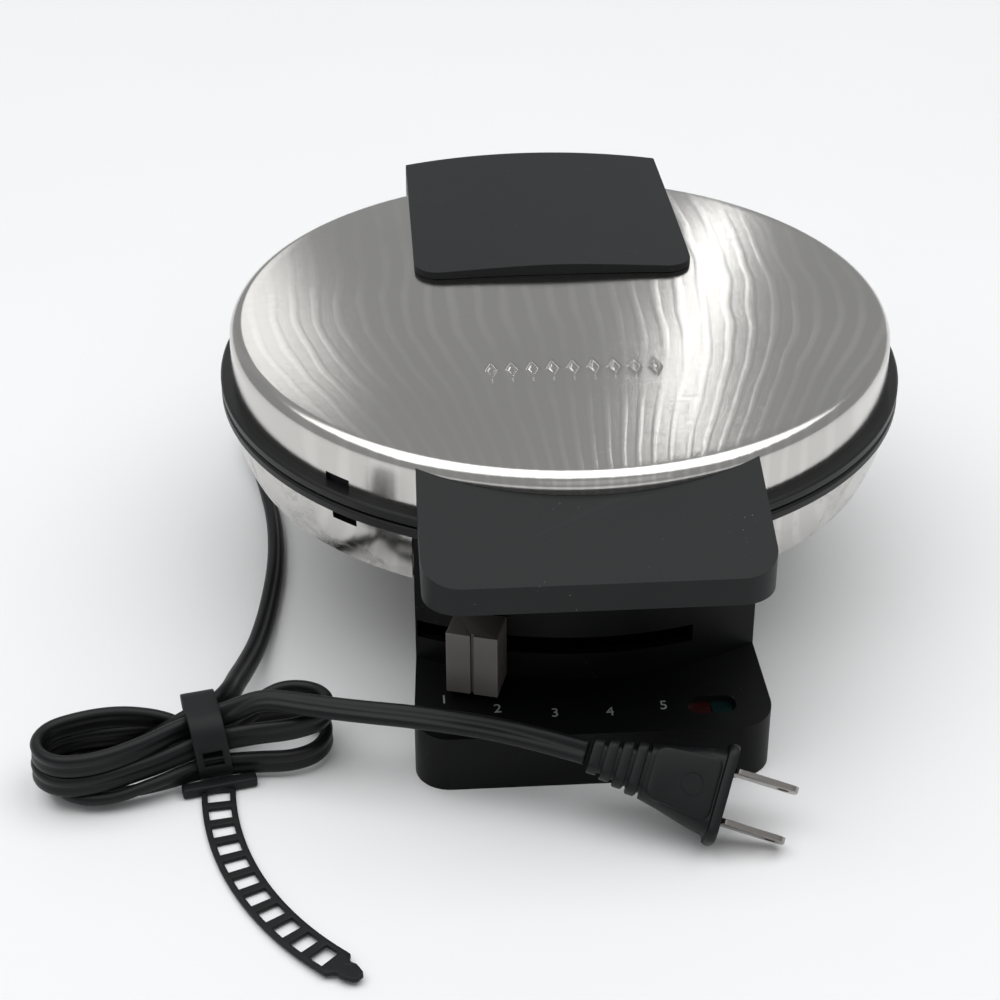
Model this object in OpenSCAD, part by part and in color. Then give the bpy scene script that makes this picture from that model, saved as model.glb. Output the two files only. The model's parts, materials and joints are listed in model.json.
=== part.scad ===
// Round waffle maker on a front control housing and a rear hinge housing.
// Origin: on the table, under the axis of the round plates. +Z is up, -Y is the front.
// Sizes are in millimetres.

/* [Rings and parting line] */
// Outer radius of the two moulded rings
ring_r = 95.2; // [79:0.1:115]
// Height of each ring
ring_t = 3; // [2:0.5:5]
// Gap between the two rings when the lid is closed
ring_gap = 0.4; // [0.3:0.1:1]
// Radial width of each ring
ring_w = 10.4; // [8:0.1:12]
// Height of the parting line above the table
part_z = 59.6; // [52:0.1:70]

/* [Steel shells] */
// Height of the lid cover's wall, from the ring to the top edge
cover_h = 14.8; // [13:0.1:22]
// Rise of the lid cover's crown above its top edge
crown_h = 3.6; // [2:0.1:8]
// Radius of the shoulder between wall and crown
shoulder_r = 4; // [2:0.1:6]
// Step from the rings in to the lid cover's wall
cover_in = 3.2; // [2:0.1:5]
// Height of the lower skirt
skirt_h = 16; // [14:0.1:24]
// Step from the rings in to the top of the skirt
skirt_in = 1.7; // [1:0.1:4]
// How far the skirt curves inwards from top to bottom
skirt_curve = 4; // [1:0.1:8]
// Thickness of the steel sheet
sheet = 0.8; // [0.5:0.1:1.2]
// Width of the small notches at the shells' edges
notch_w = 8; // [4:0.5:12]
// Depth of those notches
notch_d = 2.8; // [1:0.1:5]
// Direction of the first notch, from +X
notch_angle = 227; // [215:1:235]

/* [Baking plates] */
// Height of a waffle tooth
tooth_h = 4; // [2:0.1:8]
// Side of a waffle tooth
tooth_w = 6.4; // [4:0.1:8]
// Distance from one tooth to the next
tooth_pitch = 10.6; // [9:0.1:14]
// Clear height between the teeth of the two plates
batter_gap = 5.2; // [4.6:0.1:8]
// Thickness of a plate's floor
plate_t = 3.2; // [2:0.1:5]
// Width of the raised rim round each plate
rim_w = 3.4; // [2:0.1:5]
// Height that each rim stops short of the parting line
rim_gap = 0.6; // [0.4:0.1:2]

/* [Heating] */
// Diameter of the tubular heating elements
element_d = 6.4; // [5:0.1:8]
// Step from the rings in to the middle of an element's tube
element_in = 43.2; // [35:0.1:55]
// Radius of the thermostat's body
thermostat_r = 14; // [10:0.5:18]
// Radius of the thermostat's shaft
shaft_r = 2.5; // [2:0.1:4]
// Running clearance round shafts and pins
run_gap = 0.05; // [0.02:0.01:0.1]

/* [Lid handle] */
// Width of the front handle
handle_w = 86; // [70:1:100]
// How far the handle stands out from the rings
handle_out = 24.8; // [17:0.1:40]
// Fall of the handle's top for each mm towards the front
handle_slope = 0.268; // [0.15:0.001:0.3]
// Corner radius of the handle's front, seen from above
handle_corner = 9.5; // [5:0.5:15]
// Wall thickness of the plastic mouldings
wall = 2.3; // [1.8:0.1:3]

/* [Rear cap and hinge] */
// Width of the rear cap
cap_w = 79.5; // [70:0.5:90]
// Distance from the plates' axis to the cap's front edge
cap_front = 13.5; // [5:0.5:40]
// Height of the cap's front edge above the cover's crown
cap_edge = 3.2; // [2:0.1:5]
// Fall of the cap's top for each mm towards the rear
cap_slope = 0.064; // [0.03:0.001:0.09]
// How far the cap's curved rear wall stands out from the rings
cap_out = 19.6; // [17.8:0.1:22.8]
// Distance from the rings' edge to the hinge axis
hinge_out = 7.8; // [6.8:0.1:8.8]
// Height of the hinge axis below the parting line
hinge_drop = 1.6; // [1:0.1:3]
// Radius of the hinge knuckles
knuckle_r = 5.2; // [4.5:0.1:5.5]
// Radius of the hinge pin
pin_r = 2; // [1.5:0.1:3]
// Half the width of the lid's knuckle
lid_knuckle = 14; // [8:0.5:18]
// Distance from the middle to the outer face of the base's ears
ear_out = 24; // [22:0.5:26]

/* [Base housings] */
// Width of the front housing where it meets its curved wall
front_w = 87.4; // [80:0.2:96]
// How much wider the front housing is at its front edge
front_flare = 3.4; // [0:0.2:6]
// How far the front housing's front face stands out from the rings
front_out = 19.2; // [13:0.2:34]
// Height of the shelf at its front edge
shelf_z = 16; // [12:0.5:22]
// Rise of the shelf for each mm towards the rear
shelf_slope = 0.125; // [0.05:0.005:0.2]
// Step from the rings in to the curved wall above the shelf
arc_in = 0.7; // [0.2:0.1:0.9]
// Depth of both housings from the rings' edge to their inner walls
housing_depth = 29.2; // [25:0.1:35]
// Width of the rear housing
rear_w = 76; // [70:1:84]
// How far the rear housing's rear face stands out from the rings
rear_out = 24.8; // [17:0.1:40]
// Height of the step at the rear housing's rear
rear_step = 20; // [14:1:30]
// Corner radius of both housings, seen from above
housing_corner = 9; // [4:0.5:12]
// Height of the feet under the housings
foot_h = 1.2; // [1:0.1:4]
// Radius of a foot
foot_r = 5; // [3:0.5:8]

/* [Browning lever] */
// Setting that the lever stands at, from -Y towards +X
knob_angle = -16.8; // [-19:0.1:9]
// Direction of the lowest setting, from -Y towards +X
low_angle = -20.6; // [-23:0.1:-19]
// Direction of the highest setting, from -Y towards +X
high_angle = 9.6; // [9:0.1:12]
// Width of the knob
knob_w = 13.4; // [10:0.2:16]
// Depth of the knob
knob_d = 10.6; // [8:0.2:14]
// Height of the knob
knob_h = 18; // [14:0.5:22]
// Width of the lever's arm
arm_w = 9; // [6:0.5:12]
// Thickness of the lever
arm_t = 2; // [1.5:0.1:3]

/* [Indicator] */
// Direction of the indicator window, from -Y towards +X
lens_angle = 15.9; // [14:0.1:17]
// Distance from the rings' edge to the middle of the window
lens_out = 14.8; // [14.3:0.1:15.3]
// Length of the window
lens_w = 12.4; // [10:0.2:14]
// Width of the window
lens_d = 6.2; // [5:0.1:7]

/* [Mains lead] */
// Width of the flat two-core lead
cord_w = 6.2; // [5:0.1:8]
// Thickness of the flat two-core lead
cord_t = 3.2; // [2.5:0.1:4]
// Distance between the plug's two blades
blade_pitch = 12.7; // [12.7:0.1:19]
// Length of a blade
blade_l = 16.5; // [15:0.5:18]
// Width of a blade
blade_w = 6.3; // [6.3:0.1:7]
// Thickness of a blade
blade_t = 1.5; // [1.4:0.1:1.6]

/* [Hidden] */

$fn = 96;
eps = 0.01;
touch = 0.3;            // gap between mouldings that only sit side by side
hole_gap = 0.2;         // clearance of a screw in its hole
curve_n = 10;           // points along a curved stretch of a profile

black = [0.08, 0.085, 0.09];
charcoal = [0.20, 0.205, 0.21];
steel = [0.66, 0.66, 0.65];
cast = [0.24, 0.24, 0.25];
rubber = [0.05, 0.05, 0.05];

// Heights of the parting line's pieces
lower_ring_top = part_z - ring_gap / 2;
lower_ring_z = lower_ring_top - ring_t;
upper_ring_z = part_z + ring_gap / 2;
upper_ring_top = upper_ring_z + ring_t;
ring_in = ring_r - ring_w;
locating_h = 6;         // height of the rings' locating walls
locating_t = 1.5;

// Distances from the plates' axis
handle_reach = ring_r + handle_out;
cap_r = ring_r + cap_out;
hinge_y = ring_r + hinge_out;
front_reach = ring_r + front_out;
arc_r = ring_r - arc_in;
housing_in = ring_r - housing_depth;
rear_reach = ring_r + rear_out;
lens_dist = ring_r + lens_out;
element_r = ring_r - element_in;

// Steel shells
cover_r = ring_r - cover_in;
cover_edge_z = upper_ring_top + cover_h;
skirt_r = ring_r - skirt_in;
skirt_z = lower_ring_z - skirt_h;
skirt_low_r = skirt_r - skirt_curve;
flange_w = 8;
flange_in = skirt_low_r - flange_w;

// Baking plates
plate_r = ring_in - 0.3;
lower_tip = part_z - batter_gap / 2;
lower_floor = lower_tip - tooth_h;
lower_plate_z = lower_floor - plate_t;
upper_tip = part_z + batter_gap / 2;
upper_floor = upper_tip + tooth_h;
upper_plate_top = upper_floor + plate_t;
tooth_field = plate_r - rim_w - 2;
lug_angles = [45, 135, 225, 315];
lug_w = 12;
lug_out = ring_in + 4.4;
lug_t = 3;
lug_r = (ring_in + lug_out) / 2;
lug_head_r = 2.2;       // the plate screws' heads clear the plate and the rings' walls

// Heating and the lever's levels
lower_element_z = lower_plate_z - element_d / 2;
upper_element_z = upper_plate_top + element_d / 2;
clip_t = 0.8;
clip_h = element_d + 2 * touch + clip_t;
shield_t = 0.6;
lower_shield_z = lower_plate_z - clip_h - touch - shield_t;
upper_shield_z = upper_plate_top + clip_h + touch;
shield_r = element_r + 12;
upper_shield_r = element_r + 4;
element_gap = 24;       // degrees left open at the rear of an element
terminal_l = 16;
wire_d = 1.8;
clip_angles = [0, 180, 270];
arm_z = lower_shield_z - 2.6 - arm_t;
hub_r = 7;
shaft_z = arm_z - 1.5;

// Bottom cover
dish_t = 1;
dish_z = arm_z - 4.2;
dish_r = skirt_low_r - 1.2;
dish_flat = dish_r - 14;
dish_lip = 9;
cover_screw_angles = [30, 150, 210, 330];
cover_screw_r = dish_r - 4;
vent_n = 12;
vent_r = 30;
vent_l = 18;
vent_w = 3;

// Screws
screw_r = 1.5;
head_r = 3;
head_h = 1.5;

// Front housing
housing_z = foot_h;
base_t = 2;
front_half = front_w / 2;
front_half_out = front_half + front_flare / 2;
front_bend = ring_r - 19.2;
flare_slope = (front_half_out - front_half) / (front_reach - housing_corner - front_bend);
skirt_meet_y = sqrt(pow(skirt_r, 2) - pow(front_half, 2));
front_cut = front_half + flare_slope * (skirt_meet_y - front_bend);
column_cut_z = lower_plate_z - 3.6;
column_cut_r = plate_r + 1.6;
inner_wall_top = dish_z - touch;
boss_r = 3.6;
boss_in = 9;            // from a housing's walls to its bosses and feet
foot_in = 22;           // from a housing's side wall to its feet
screw_depth = 6;        // the base plate screws' hold in their bosses
front_boss = [front_half - boss_in, arc_r + boss_r - 12];
rear_boss = [rear_w / 2 - boss_in, rear_reach - boss_in];
front_foot = [front_half - foot_in, front_reach - boss_in];
rear_foot = [rear_w / 2 - foot_in, rear_reach - boss_in];
stem_r = 2;             // a foot's stem, through the base plate

// Knob and lever
knob_r0 = arc_r + 0.7;
knob_over = 7.2;         // how far the knob's rear corners reach in from the rings
knob_z = shelf_z + shelf_slope * (front_out + knob_over) + 0.6;
tongue_z = knob_z + knob_h / 2 - arm_t;
tongue_h = 2 * arm_t;
leg_r = arc_r - wall - 8;
slot_h = tongue_h + 1;
slot_margin = 4.2;      // degrees that the slot runs past the lever's travel

// Indicator
lens_z = shelf_z + shelf_slope * 4 - 0.9;
lens_h = 4;
lens_half_gap = 0.1;
lens_x = lens_dist * sin(lens_angle);
lens_y = -lens_dist * cos(lens_angle);
lamp_r = 2.2;
lamp_l = 7;

// Lid handle
handle_z = lower_ring_z + 0.8;
handle_top0 = upper_ring_top + 12.6;            // top plane's height at handle_y0
handle_y0 = cover_r - 11.5;
handle_back = handle_y0 - 2.5;
handle_screw_x = 22;
handle_screw_z = upper_ring_top + 4.7;

// Rear cap and hinge
crown_z = cover_edge_z + crown_h;
cap_top0 = crown_z + cap_edge;
hinge_z = part_z - hinge_drop;
knuckle_gap = 0.3;
cap_low = hinge_z + 6.5;
cap_fillet = 6;
bracket_half = 34;
bracket_y = hinge_y - 2;
bracket_z = hinge_z + 6;
bracket_gap = 1.37;     // between the bracket and the underside of the cap at the hinge
bracket_top = cap_top0 - cap_slope * (hinge_y - cap_front) - wall - bracket_gap;
cap_screw = [30, hinge_y - 5];
bracket_screw_x = 8;
bracket_screw_z = upper_ring_top + 7.4;

// Mains lead
bushing_y = ring_r - 5.2;
bushing_z = 13;
bushing_l = 26;
bushing_base = 3;
terminal_size = [20, 10, 12];
terminal_y = bushing_y - 6;
// Route points: x, y, z and the turn of the flat section about the route, in degrees
tail_route = [
    [-64, 90, 13, 0], [-74.5, 88, 12, 15], [-83.5, 82, 10.5, 30], [-89.5, 73, 8.5, 45],
    [-92, 62, 7, 55], [-91, 50, 5.5, 60], [-88.5, 38, 4.5, 60], [-86, 25, 4, 60],
    [-84, 12, 3.6, 60], [-83, -2, 3.4, 60], [-83, -16, 3.4, 60], [-84, -30, 3.4, 60],
    [-85.5, -44, 4, 60], [-87.4, -57, 5.4, 60], [-89.6, -69, 8, 58], [-91.4, -79.5, 11.2, 55],
    [-93, -88.4, 13.8, 60]];
lead_route = [
    [-90, -98, 19.6, 165], [-83.7, -100, 19.9, 165], [-73.8, -103, 20.5, 162],
    [-65, -106.2, 21, 160], [-56.5, -109, 21.5, 158], [-46.6, -112, 22, 155],
    [-36, -115.6, 22.4, 152], [-26, -119, 22.4, 148], [-14.5, -123.2, 21.6, 142],
    [-4, -127.1, 20.3, 137]];
hank_a = [-132, -107];
hank_b = [-78, -95];
hank_half = 12;
hank_z = 1.3;
hank_h = 16;
hank_dir = atan2(hank_b[1] - hank_a[1], hank_b[0] - hank_a[0]);
tie_along = 35.3;       // from hank_a to the tie
tie_at = hank_a + tie_along * [cos(hank_dir), sin(hank_dir)];
tie_half = 8.8;         // half the hank's depth where the tie pinches it
tie_w = 8.6;
tie_t = 1.2;
tail_centre = [-1.1, -108];
tail_r = 94.3;
tail_sweep = 46.4;
tie_head = [19, 3.2, 3];
window_n = 11;
window_first = 2.5;     // degrees from the head to the first window
window_l = 4.2;
window_edge = 1.5;      // the band beside a window
window_step = 4.04;     // degrees from one window to the next
plug_at = [27.1, -134.7, 12];
plug_turn = [43, 14, -14];
relief_l = 14;
relief_x = -32;         // start of the strain relief, in the plug's own frame
relief_size = [8.4, 5];
rib_n = 4;
rib_step = 3.5;
rib_t = 2.5;
plug_t = 9;
flange_x = 2.4;         // face of the flange, where the blades come out
plug_outline = [
    [-18, -6.7], [-13, -7.6], [-8, -9], [-3, -10.6], [0, -12.6], [flange_x, -12.6],
    [flange_x, 12.6], [0, 12.6], [-3, 10.4], [-8, 9.4], [-13, 8.2], [-18, 7]];

// ---------------------------------------------------------------- shared shapes

// Child turned about Z so that +X points in the direction a, counted from -Y towards +X
module towards(a) rotate([0, 0, a - 90]) children();

module at_angles(list) for (a = list) rotate([0, 0, a]) children();

module mirrored_x() { children(); mirror([1, 0, 0]) children(); }

module screw(length, head = head_r) {
    cylinder(r = screw_r, h = length);
    translate([0, 0, -head_h]) difference() {
        cylinder(r = head, h = head_h);
        for (a = [0, 90]) rotate([0, 0, a])
            translate([-head * 0.6, -0.4, -eps]) cube([head * 1.2, 0.8, 0.7]);
    }
}

module screw_hole(length) translate([0, 0, -eps]) cylinder(r = screw_r + hole_gap, h = length);

function arc(x, y, r, from, to) = [for (k = [0 : curve_n])
    let (a = from + (to - from) * k / curve_n) [x + r * cos(a), y + r * sin(a)]];

// Outline from y0 to y1 (both positive) with round corners at y1. It is half_back to each
// side up to y_bend, and widens from there to half_front.
module housing_plan(half_back, half_front, y0, y_bend, y1, c) {
    polygon(concat(
        [[-half_back, y0], [half_back, y0], [half_back, y_bend]],
        arc(half_front - c, y1 - c, c, 0, 90), arc(-half_front + c, y1 - c, c, 90, 180),
        [[-half_back, y_bend]]));
}

module stadium(w, d) {
    square([w - d, d], center = true);
    for (s = [-1, 1]) translate([s * (w - d) / 2, 0]) circle(d = d, $fn = 48);
}

// Everything above a plane that is z0 high at y = y0 and falls by slope for each mm of +Y
module above_plane(z0, y0, slope, size = 300) {
    translate([0, y0, z0]) rotate([-atan(slope), 0, 0])
        translate([-size / 2, -size / 2, 0]) cube([size, size, size / 2]);
}

// ---------------------------------------------------------------- steel shells

function crown_at(r, inset) =
    cover_edge_z - inset + crown_h * (1 - pow(r / (cover_r - shoulder_r), 2));

// Outer profile of the lid cover, offset inwards by inset
function cover_profile(inset, z0) = concat(
    [[0, z0], [cover_r - inset, z0]],
    [for (k = [0 : curve_n]) let (a = 90 * k / curve_n, r = shoulder_r - inset)
        [cover_r - shoulder_r + r * cos(a), cover_edge_z - shoulder_r + r * sin(a)]],
    [for (k = [1 : curve_n]) let (r = (cover_r - shoulder_r) * (1 - k / curve_n))
        [r, crown_at(r, inset)]]);

module cover_solid(inset, z0) rotate_extrude() polygon(cover_profile(inset, z0));

module lid_cover() {
    color(steel) difference() {
        cover_solid(0, upper_ring_top);
        cover_solid(sheet, upper_ring_top - 1);
        at_angles([notch_angle, notch_angle - 180])
            translate([cover_r - 4, -notch_w / 2, upper_ring_top - 1])
                cube([8, notch_w, notch_d + 1]);
        for (s = [-1, 1]) {
            translate([s * handle_screw_x, -cover_r + 12, handle_screw_z]) rotate([90, 0, 0])
                screw_hole(16);
            translate([s * bracket_screw_x, cover_r - 12, bracket_screw_z])
                rotate([-90, 0, 0]) screw_hole(16);
        }
    }
}

function skirt_at(t, inset) = skirt_r - inset - skirt_curve * pow(t, 1.8);

function skirt_profile(inset, top, low) = concat(
    [[0, low], [0, top]],
    [for (k = [0 : curve_n]) let (t = k / curve_n)
        [skirt_at(t, inset), top - t * (top - low)]]);

// Space taken by the front housing (side -1) or the rear one (side 1), from y0 outwards
module housing_space(half, side, y0 = 0) {
    translate([-half - touch, side > 0 ? y0 : -y0 - 200, 0])
        cube([2 * (half + touch), 200, 200]);
}

module lower_skirt() {
    color(steel) difference() {
        union() {
            difference() {
                rotate_extrude() polygon(skirt_profile(0, lower_ring_z, skirt_z));
                rotate_extrude()
                    polygon(skirt_profile(sheet, lower_ring_z + eps, skirt_z - eps));
            }
            translate([0, 0, skirt_z]) difference() {
                cylinder(r = skirt_low_r, h = sheet);
                translate([0, 0, -1]) cylinder(r = flange_in, h = sheet + 2);
            }
        }
        housing_space(front_cut, -1);
        housing_space(rear_w / 2, 1);
        at_angles([notch_angle + 2, notch_angle - 178])
            translate([skirt_r - 6, -notch_w / 2, lower_ring_z - notch_d])
                cube([8, notch_w, notch_d + 1]);
        at_angles(cover_screw_angles) translate([cover_screw_r, 0, skirt_z - 1])
            screw_hole(4);
    }
}

module bottom_cover() {
    lip_z = skirt_z - dish_t;
    color(steel * 0.8) difference() {
        rotate_extrude() polygon([
            [0, dish_z], [dish_flat, dish_z], [dish_r - dish_lip, lip_z], [dish_r, lip_z],
            [dish_r, skirt_z], [dish_r - dish_lip - 0.4, skirt_z],
            [dish_flat - 0.4, dish_z + dish_t], [0, dish_z + dish_t]]);
        housing_space(front_half, -1, housing_in - touch);
        housing_space(rear_w / 2, 1, housing_in - touch);
        for (k = [0 : vent_n - 1]) rotate([0, 0, 90 + 360 * k / vent_n])
            translate([vent_r, -vent_w / 2, dish_z - 1]) cube([vent_l, vent_w, 4]);
        at_angles(cover_screw_angles) translate([cover_screw_r, 0, lip_z - 1]) screw_hole(4);
    }
}

// ---------------------------------------------------------------- lower half

// One ring with its locating wall, above the ring (up = 1) or below it (up = -1)
module ring_body(z, up, wall_r) {
    rotate_extrude() polygon([[ring_in, z], [ring_r - 0.6, z], [ring_r, z + 0.6],
                              [ring_r, z + ring_t - 0.6], [ring_r - 0.6, z + ring_t],
                              [ring_in, z + ring_t]]);
    translate([0, 0, up > 0 ? z + ring_t : z - locating_h]) difference() {
        cylinder(r = wall_r, h = locating_h);
        translate([0, 0, -1]) cylinder(r = wall_r - locating_t, h = locating_h + 2);
        rotate([0, 0, 90]) for (a = [0, 180]) rotate([0, 0, a])
            translate([-1, -front_half - 2, -1]) cube([200, front_w + 4, locating_h + 2]);
    }
}

module lower_ring() {
    color(black) difference() {
        ring_body(lower_ring_z, -1, skirt_at(locating_h / skirt_h, sheet) - touch);
        at_angles(lug_angles) translate([lug_r, 0, lower_ring_z - eps])
            cylinder(r = screw_r, h = 2 + eps);
    }
}

// Square waffle teeth on the pitch, within the tooth field
module teeth_plan() {
    n = ceil(tooth_field / tooth_pitch);
    for (i = [-n : n - 1], j = [-n : n - 1]) {
        x = (i + 0.5) * tooth_pitch;
        y = (j + 0.5) * tooth_pitch;
        if (norm([abs(x) + tooth_w / 2, abs(y) + tooth_w / 2]) < tooth_field)
            translate([x, y]) square(tooth_w, center = true);
    }
}

// A cast plate lying face up: floor from 0, teeth and rim above it, lugs round it
module cast_plate(rim_h, lug_z) {
    cylinder(r = plate_r, h = plate_t);
    translate([0, 0, plate_t]) linear_extrude(tooth_h) teeth_plan();
    translate([0, 0, plate_t]) difference() {
        cylinder(r = plate_r, h = rim_h);
        translate([0, 0, -1]) cylinder(r = plate_r - rim_w, h = rim_h + 2);
    }
    at_angles(lug_angles) difference() {
        translate([plate_r - 3, -lug_w / 2, lug_z]) cube([lug_out - plate_r + 3, lug_w, lug_t]);
        translate([lug_r, 0, lug_z]) screw_hole(lug_t + 1);
    }
}

module lower_plate() {
    color(cast) translate([0, 0, lower_plate_z])
        cast_plate(part_z - rim_gap - lower_floor, lower_ring_z - lug_t - lower_plate_z);
}

module lower_plate_screws() {
    color(steel) at_angles(lug_angles)
        translate([lug_r, 0, lower_ring_z - lug_t]) screw(lug_t + 2, lug_head_r);
}

// Tubular element: an open ring and two straight terminals towards the rear
module element(z) {
    half_open = element_gap / 2;
    translate([0, 0, z]) {
        rotate([0, 0, 90 + half_open]) rotate_extrude(angle = 360 - element_gap)
            translate([element_r, 0]) circle(d = element_d, $fn = 48);
        for (s = [-1, 1]) rotate([0, 0, 90 + s * (half_open + 4)]) translate([element_r, 0, 0])
            rotate([0, 0, -s * (half_open + 4)]) rotate([0, 90, 0])
                cylinder(d = element_d / 2, h = terminal_l);
    }
}

// Saddle clips that hold an element against its plate; side -1 hangs below the plate
module element_clips(plate_face, side) {
    r0 = element_d / 2 + touch;
    at_angles(clip_angles) translate([element_r, 0, plate_face])
        scale_z(side) rotate([90, 0, 0]) translate([0, 0, -3]) linear_extrude(6) {
            difference() {
                translate([-r0 - clip_t, 0]) square([2 * (r0 + clip_t), clip_h]);
                translate([-r0, -1]) square([2 * r0, 2 * r0 + 1]);
            }
            for (s = [-1, 1]) translate([s * (r0 + clip_t + 2.4) - 2.5, 0])
                square([5, clip_t]);
        }
}

module scale_z(side) if (side > 0) children(); else mirror([0, 0, 1]) children();

module lower_element() color([0.3, 0.31, 0.3]) element(lower_element_z);

module lower_element_clips() color(steel) element_clips(lower_plate_z, -1);

module lower_heat_shield() {
    color(steel) translate([0, 0, lower_shield_z]) difference() {
        cylinder(r = shield_r, h = shield_t);
        translate([0, 0, -1]) cylinder(r = shaft_r + 3, h = shield_t + 2);
    }
}

module thermostat_body() {
    low = lower_shield_z + shield_t + touch;
    color([0.75, 0.72, 0.62]) difference() {
        union() {
            translate([0, 0, low]) cylinder(r = thermostat_r, h = lower_plate_z - low);
            for (s = [-1, 1]) translate([s * thermostat_r, 0, low + 3])
                translate([-3, -1.5, 0]) cube([6, 3, 0.8]);
        }
        translate([0, 0, low - 1]) cylinder(r = shaft_r + run_gap, h = lower_plate_z - low - 1);
    }
}

module thermal_fuse() {
    color([0.7, 0.7, 0.66]) translate([-6, 30, lower_plate_z - 2]) rotate([0, 90, 0]) {
        cylinder(r = 2, h = 12);
        translate([0, 0, -5]) cylinder(r = 0.5, h = 22);
    }
}

module bottom_cover_screws() {
    color(steel) at_angles(cover_screw_angles)
        translate([cover_screw_r, 0, skirt_z - dish_t]) screw(dish_t + sheet + 3);
}

// ---------------------------------------------------------------- front housing

module control_plan(inset) {
    mirror([0, 1]) housing_plan(front_half - inset, front_half_out - inset,
                                housing_in + inset, front_bend, front_reach - inset,
                                max(housing_corner - inset, 1));
}

// The front housing's outer form, or its hollow when inset is the wall
module control_form(inset) {
    top = lower_ring_z - inset;
    difference() {
        linear_extrude(top) control_plan(inset);
        difference() {
            above_plane(shelf_z - inset, -front_reach, -shelf_slope);
            translate([0, 0, -1]) cylinder(r = arc_r - inset, h = 200);
        }
    }
}

// Cuts shared by both housings: nothing below the feet, room for the plate above
module housing_room() {
    translate([0, 0, column_cut_z]) cylinder(r = column_cut_r, h = 60);
    translate([-100, -100, -1]) cube([200, 200 + rear_reach, housing_z + 1]);
}

module lever_slot() {
    w = arm_w / 2 / arc_r * 180 / PI + slot_margin;
    from = low_angle - w;
    to = high_angle + w;
    intersection() {
        translate([0, 0, tongue_z - 0.5]) difference() {
            cylinder(r = arc_r + 5, h = slot_h);
            translate([0, 0, -1]) cylinder(r = arc_r - 8, h = slot_h + 2);
        }
        linear_extrude(200) polygon([[0, 0], for (k = [0 : 6])
            let (a = from + (to - from) * k / 6) 130 * [sin(a), -cos(a)]]);
    }
}

module control_housing() {
    color(black) difference() {
        union() {
            difference() {
                control_form(0);
                translate([0, 0, -wall]) control_form(wall);
                translate([0, 0, -1]) linear_extrude(housing_z + base_t + 1)
                    control_plan(wall);
                // the inner wall stops below the bottom cover
                translate([-front_half + wall, -housing_in - wall - 1, inner_wall_top])
                    cube([front_w - 2 * wall, wall + 2, 60]);
            }
            intersection() {
                for (s = [-1, 1])
                    translate([s * front_boss[0], -front_boss[1], housing_z + base_t])
                        cylinder(r = boss_r, h = shelf_z);
                control_form(0);
            }
        }
        housing_room();
        lever_slot();
        for (s = [-1, 1]) translate([s * front_boss[0], -front_boss[1], 0])
            cylinder(r = screw_r, h = housing_z + base_t + screw_depth);
        translate([lens_x, lens_y, lens_z - 8]) linear_extrude(20) stadium(lens_w, lens_d);
    }
}

module control_base_plate() {
    color(black) translate([0, 0, housing_z]) difference() {
        linear_extrude(base_t) control_plan(wall + 0.1);
        for (s = [-1, 1]) {
            translate([s * front_boss[0], -front_boss[1], 0]) screw_hole(base_t + 1);
            translate([s * front_foot[0], -front_foot[1], -1]) cylinder(r = stem_r, h = base_t + 2);
        }
    }
}

module foot() {
    cylinder(r = foot_r, h = foot_h);
    cylinder(r = stem_r, h = foot_h + base_t);
}

module front_feet() {
    color(rubber) for (s = [-1, 1])
        translate([s * front_foot[0], -front_foot[1], 0]) foot();
}

module lens_half(s) {
    translate([lens_x, lens_y, lens_z - lens_h]) intersection() {
        linear_extrude(lens_h) stadium(lens_w, lens_d);
        translate([s > 0 ? lens_half_gap : -lens_w, -lens_w, -1])
            cube([lens_w - lens_half_gap, 2 * lens_w, lens_h + 2]);
    }
}

module red_lens() color([0.5, 0.04, 0.03]) lens_half(-1);

module green_lens() color([0.02, 0.3, 0.16]) lens_half(1);

module lamp(s) {
    translate([lens_x + s * lens_w / 4, lens_y, lens_z - lens_h - lamp_l - 1]) {
        cylinder(r = lamp_r, h = lamp_l - lamp_r);
        translate([0, 0, lamp_l - lamp_r]) sphere(r = lamp_r, $fn = 48);
    }
}

module red_lamp() color([0.8, 0.5, 0.4]) lamp(-1);

module green_lamp() color([0.5, 0.8, 0.6]) lamp(1);

// ---------------------------------------------------------------- rear housing

module rear_plan(inset) {
    half = rear_w / 2 - inset;
    housing_plan(half, half, housing_in + inset, housing_in + inset + 1,
                 rear_reach - inset, max(housing_corner - inset, 1));
}

module rear_form(inset) {
    difference() {
        linear_extrude(lower_ring_z - inset) rear_plan(inset);
        difference() {
            above_plane(rear_step - inset, rear_reach, -0.2);
            translate([-100, 0, -1]) cube([200, hinge_y - inset, 200]);
        }
    }
}

module base_ears() {
    mirrored_x() translate([lid_knuckle + knuckle_gap, 0, 0]) {
        w = ear_out - lid_knuckle - knuckle_gap;
        translate([0, hinge_y, hinge_z]) rotate([0, 90, 0]) cylinder(r = knuckle_r, h = w);
        translate([0, hinge_y - knuckle_r, lower_ring_z - 6])
            cube([w, knuckle_r, hinge_z - lower_ring_z + 6]);
    }
}

module hinge_bore(r, half) {
    translate([-half, hinge_y, hinge_z]) rotate([0, 90, 0]) cylinder(r = r, h = 2 * half);
}

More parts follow.
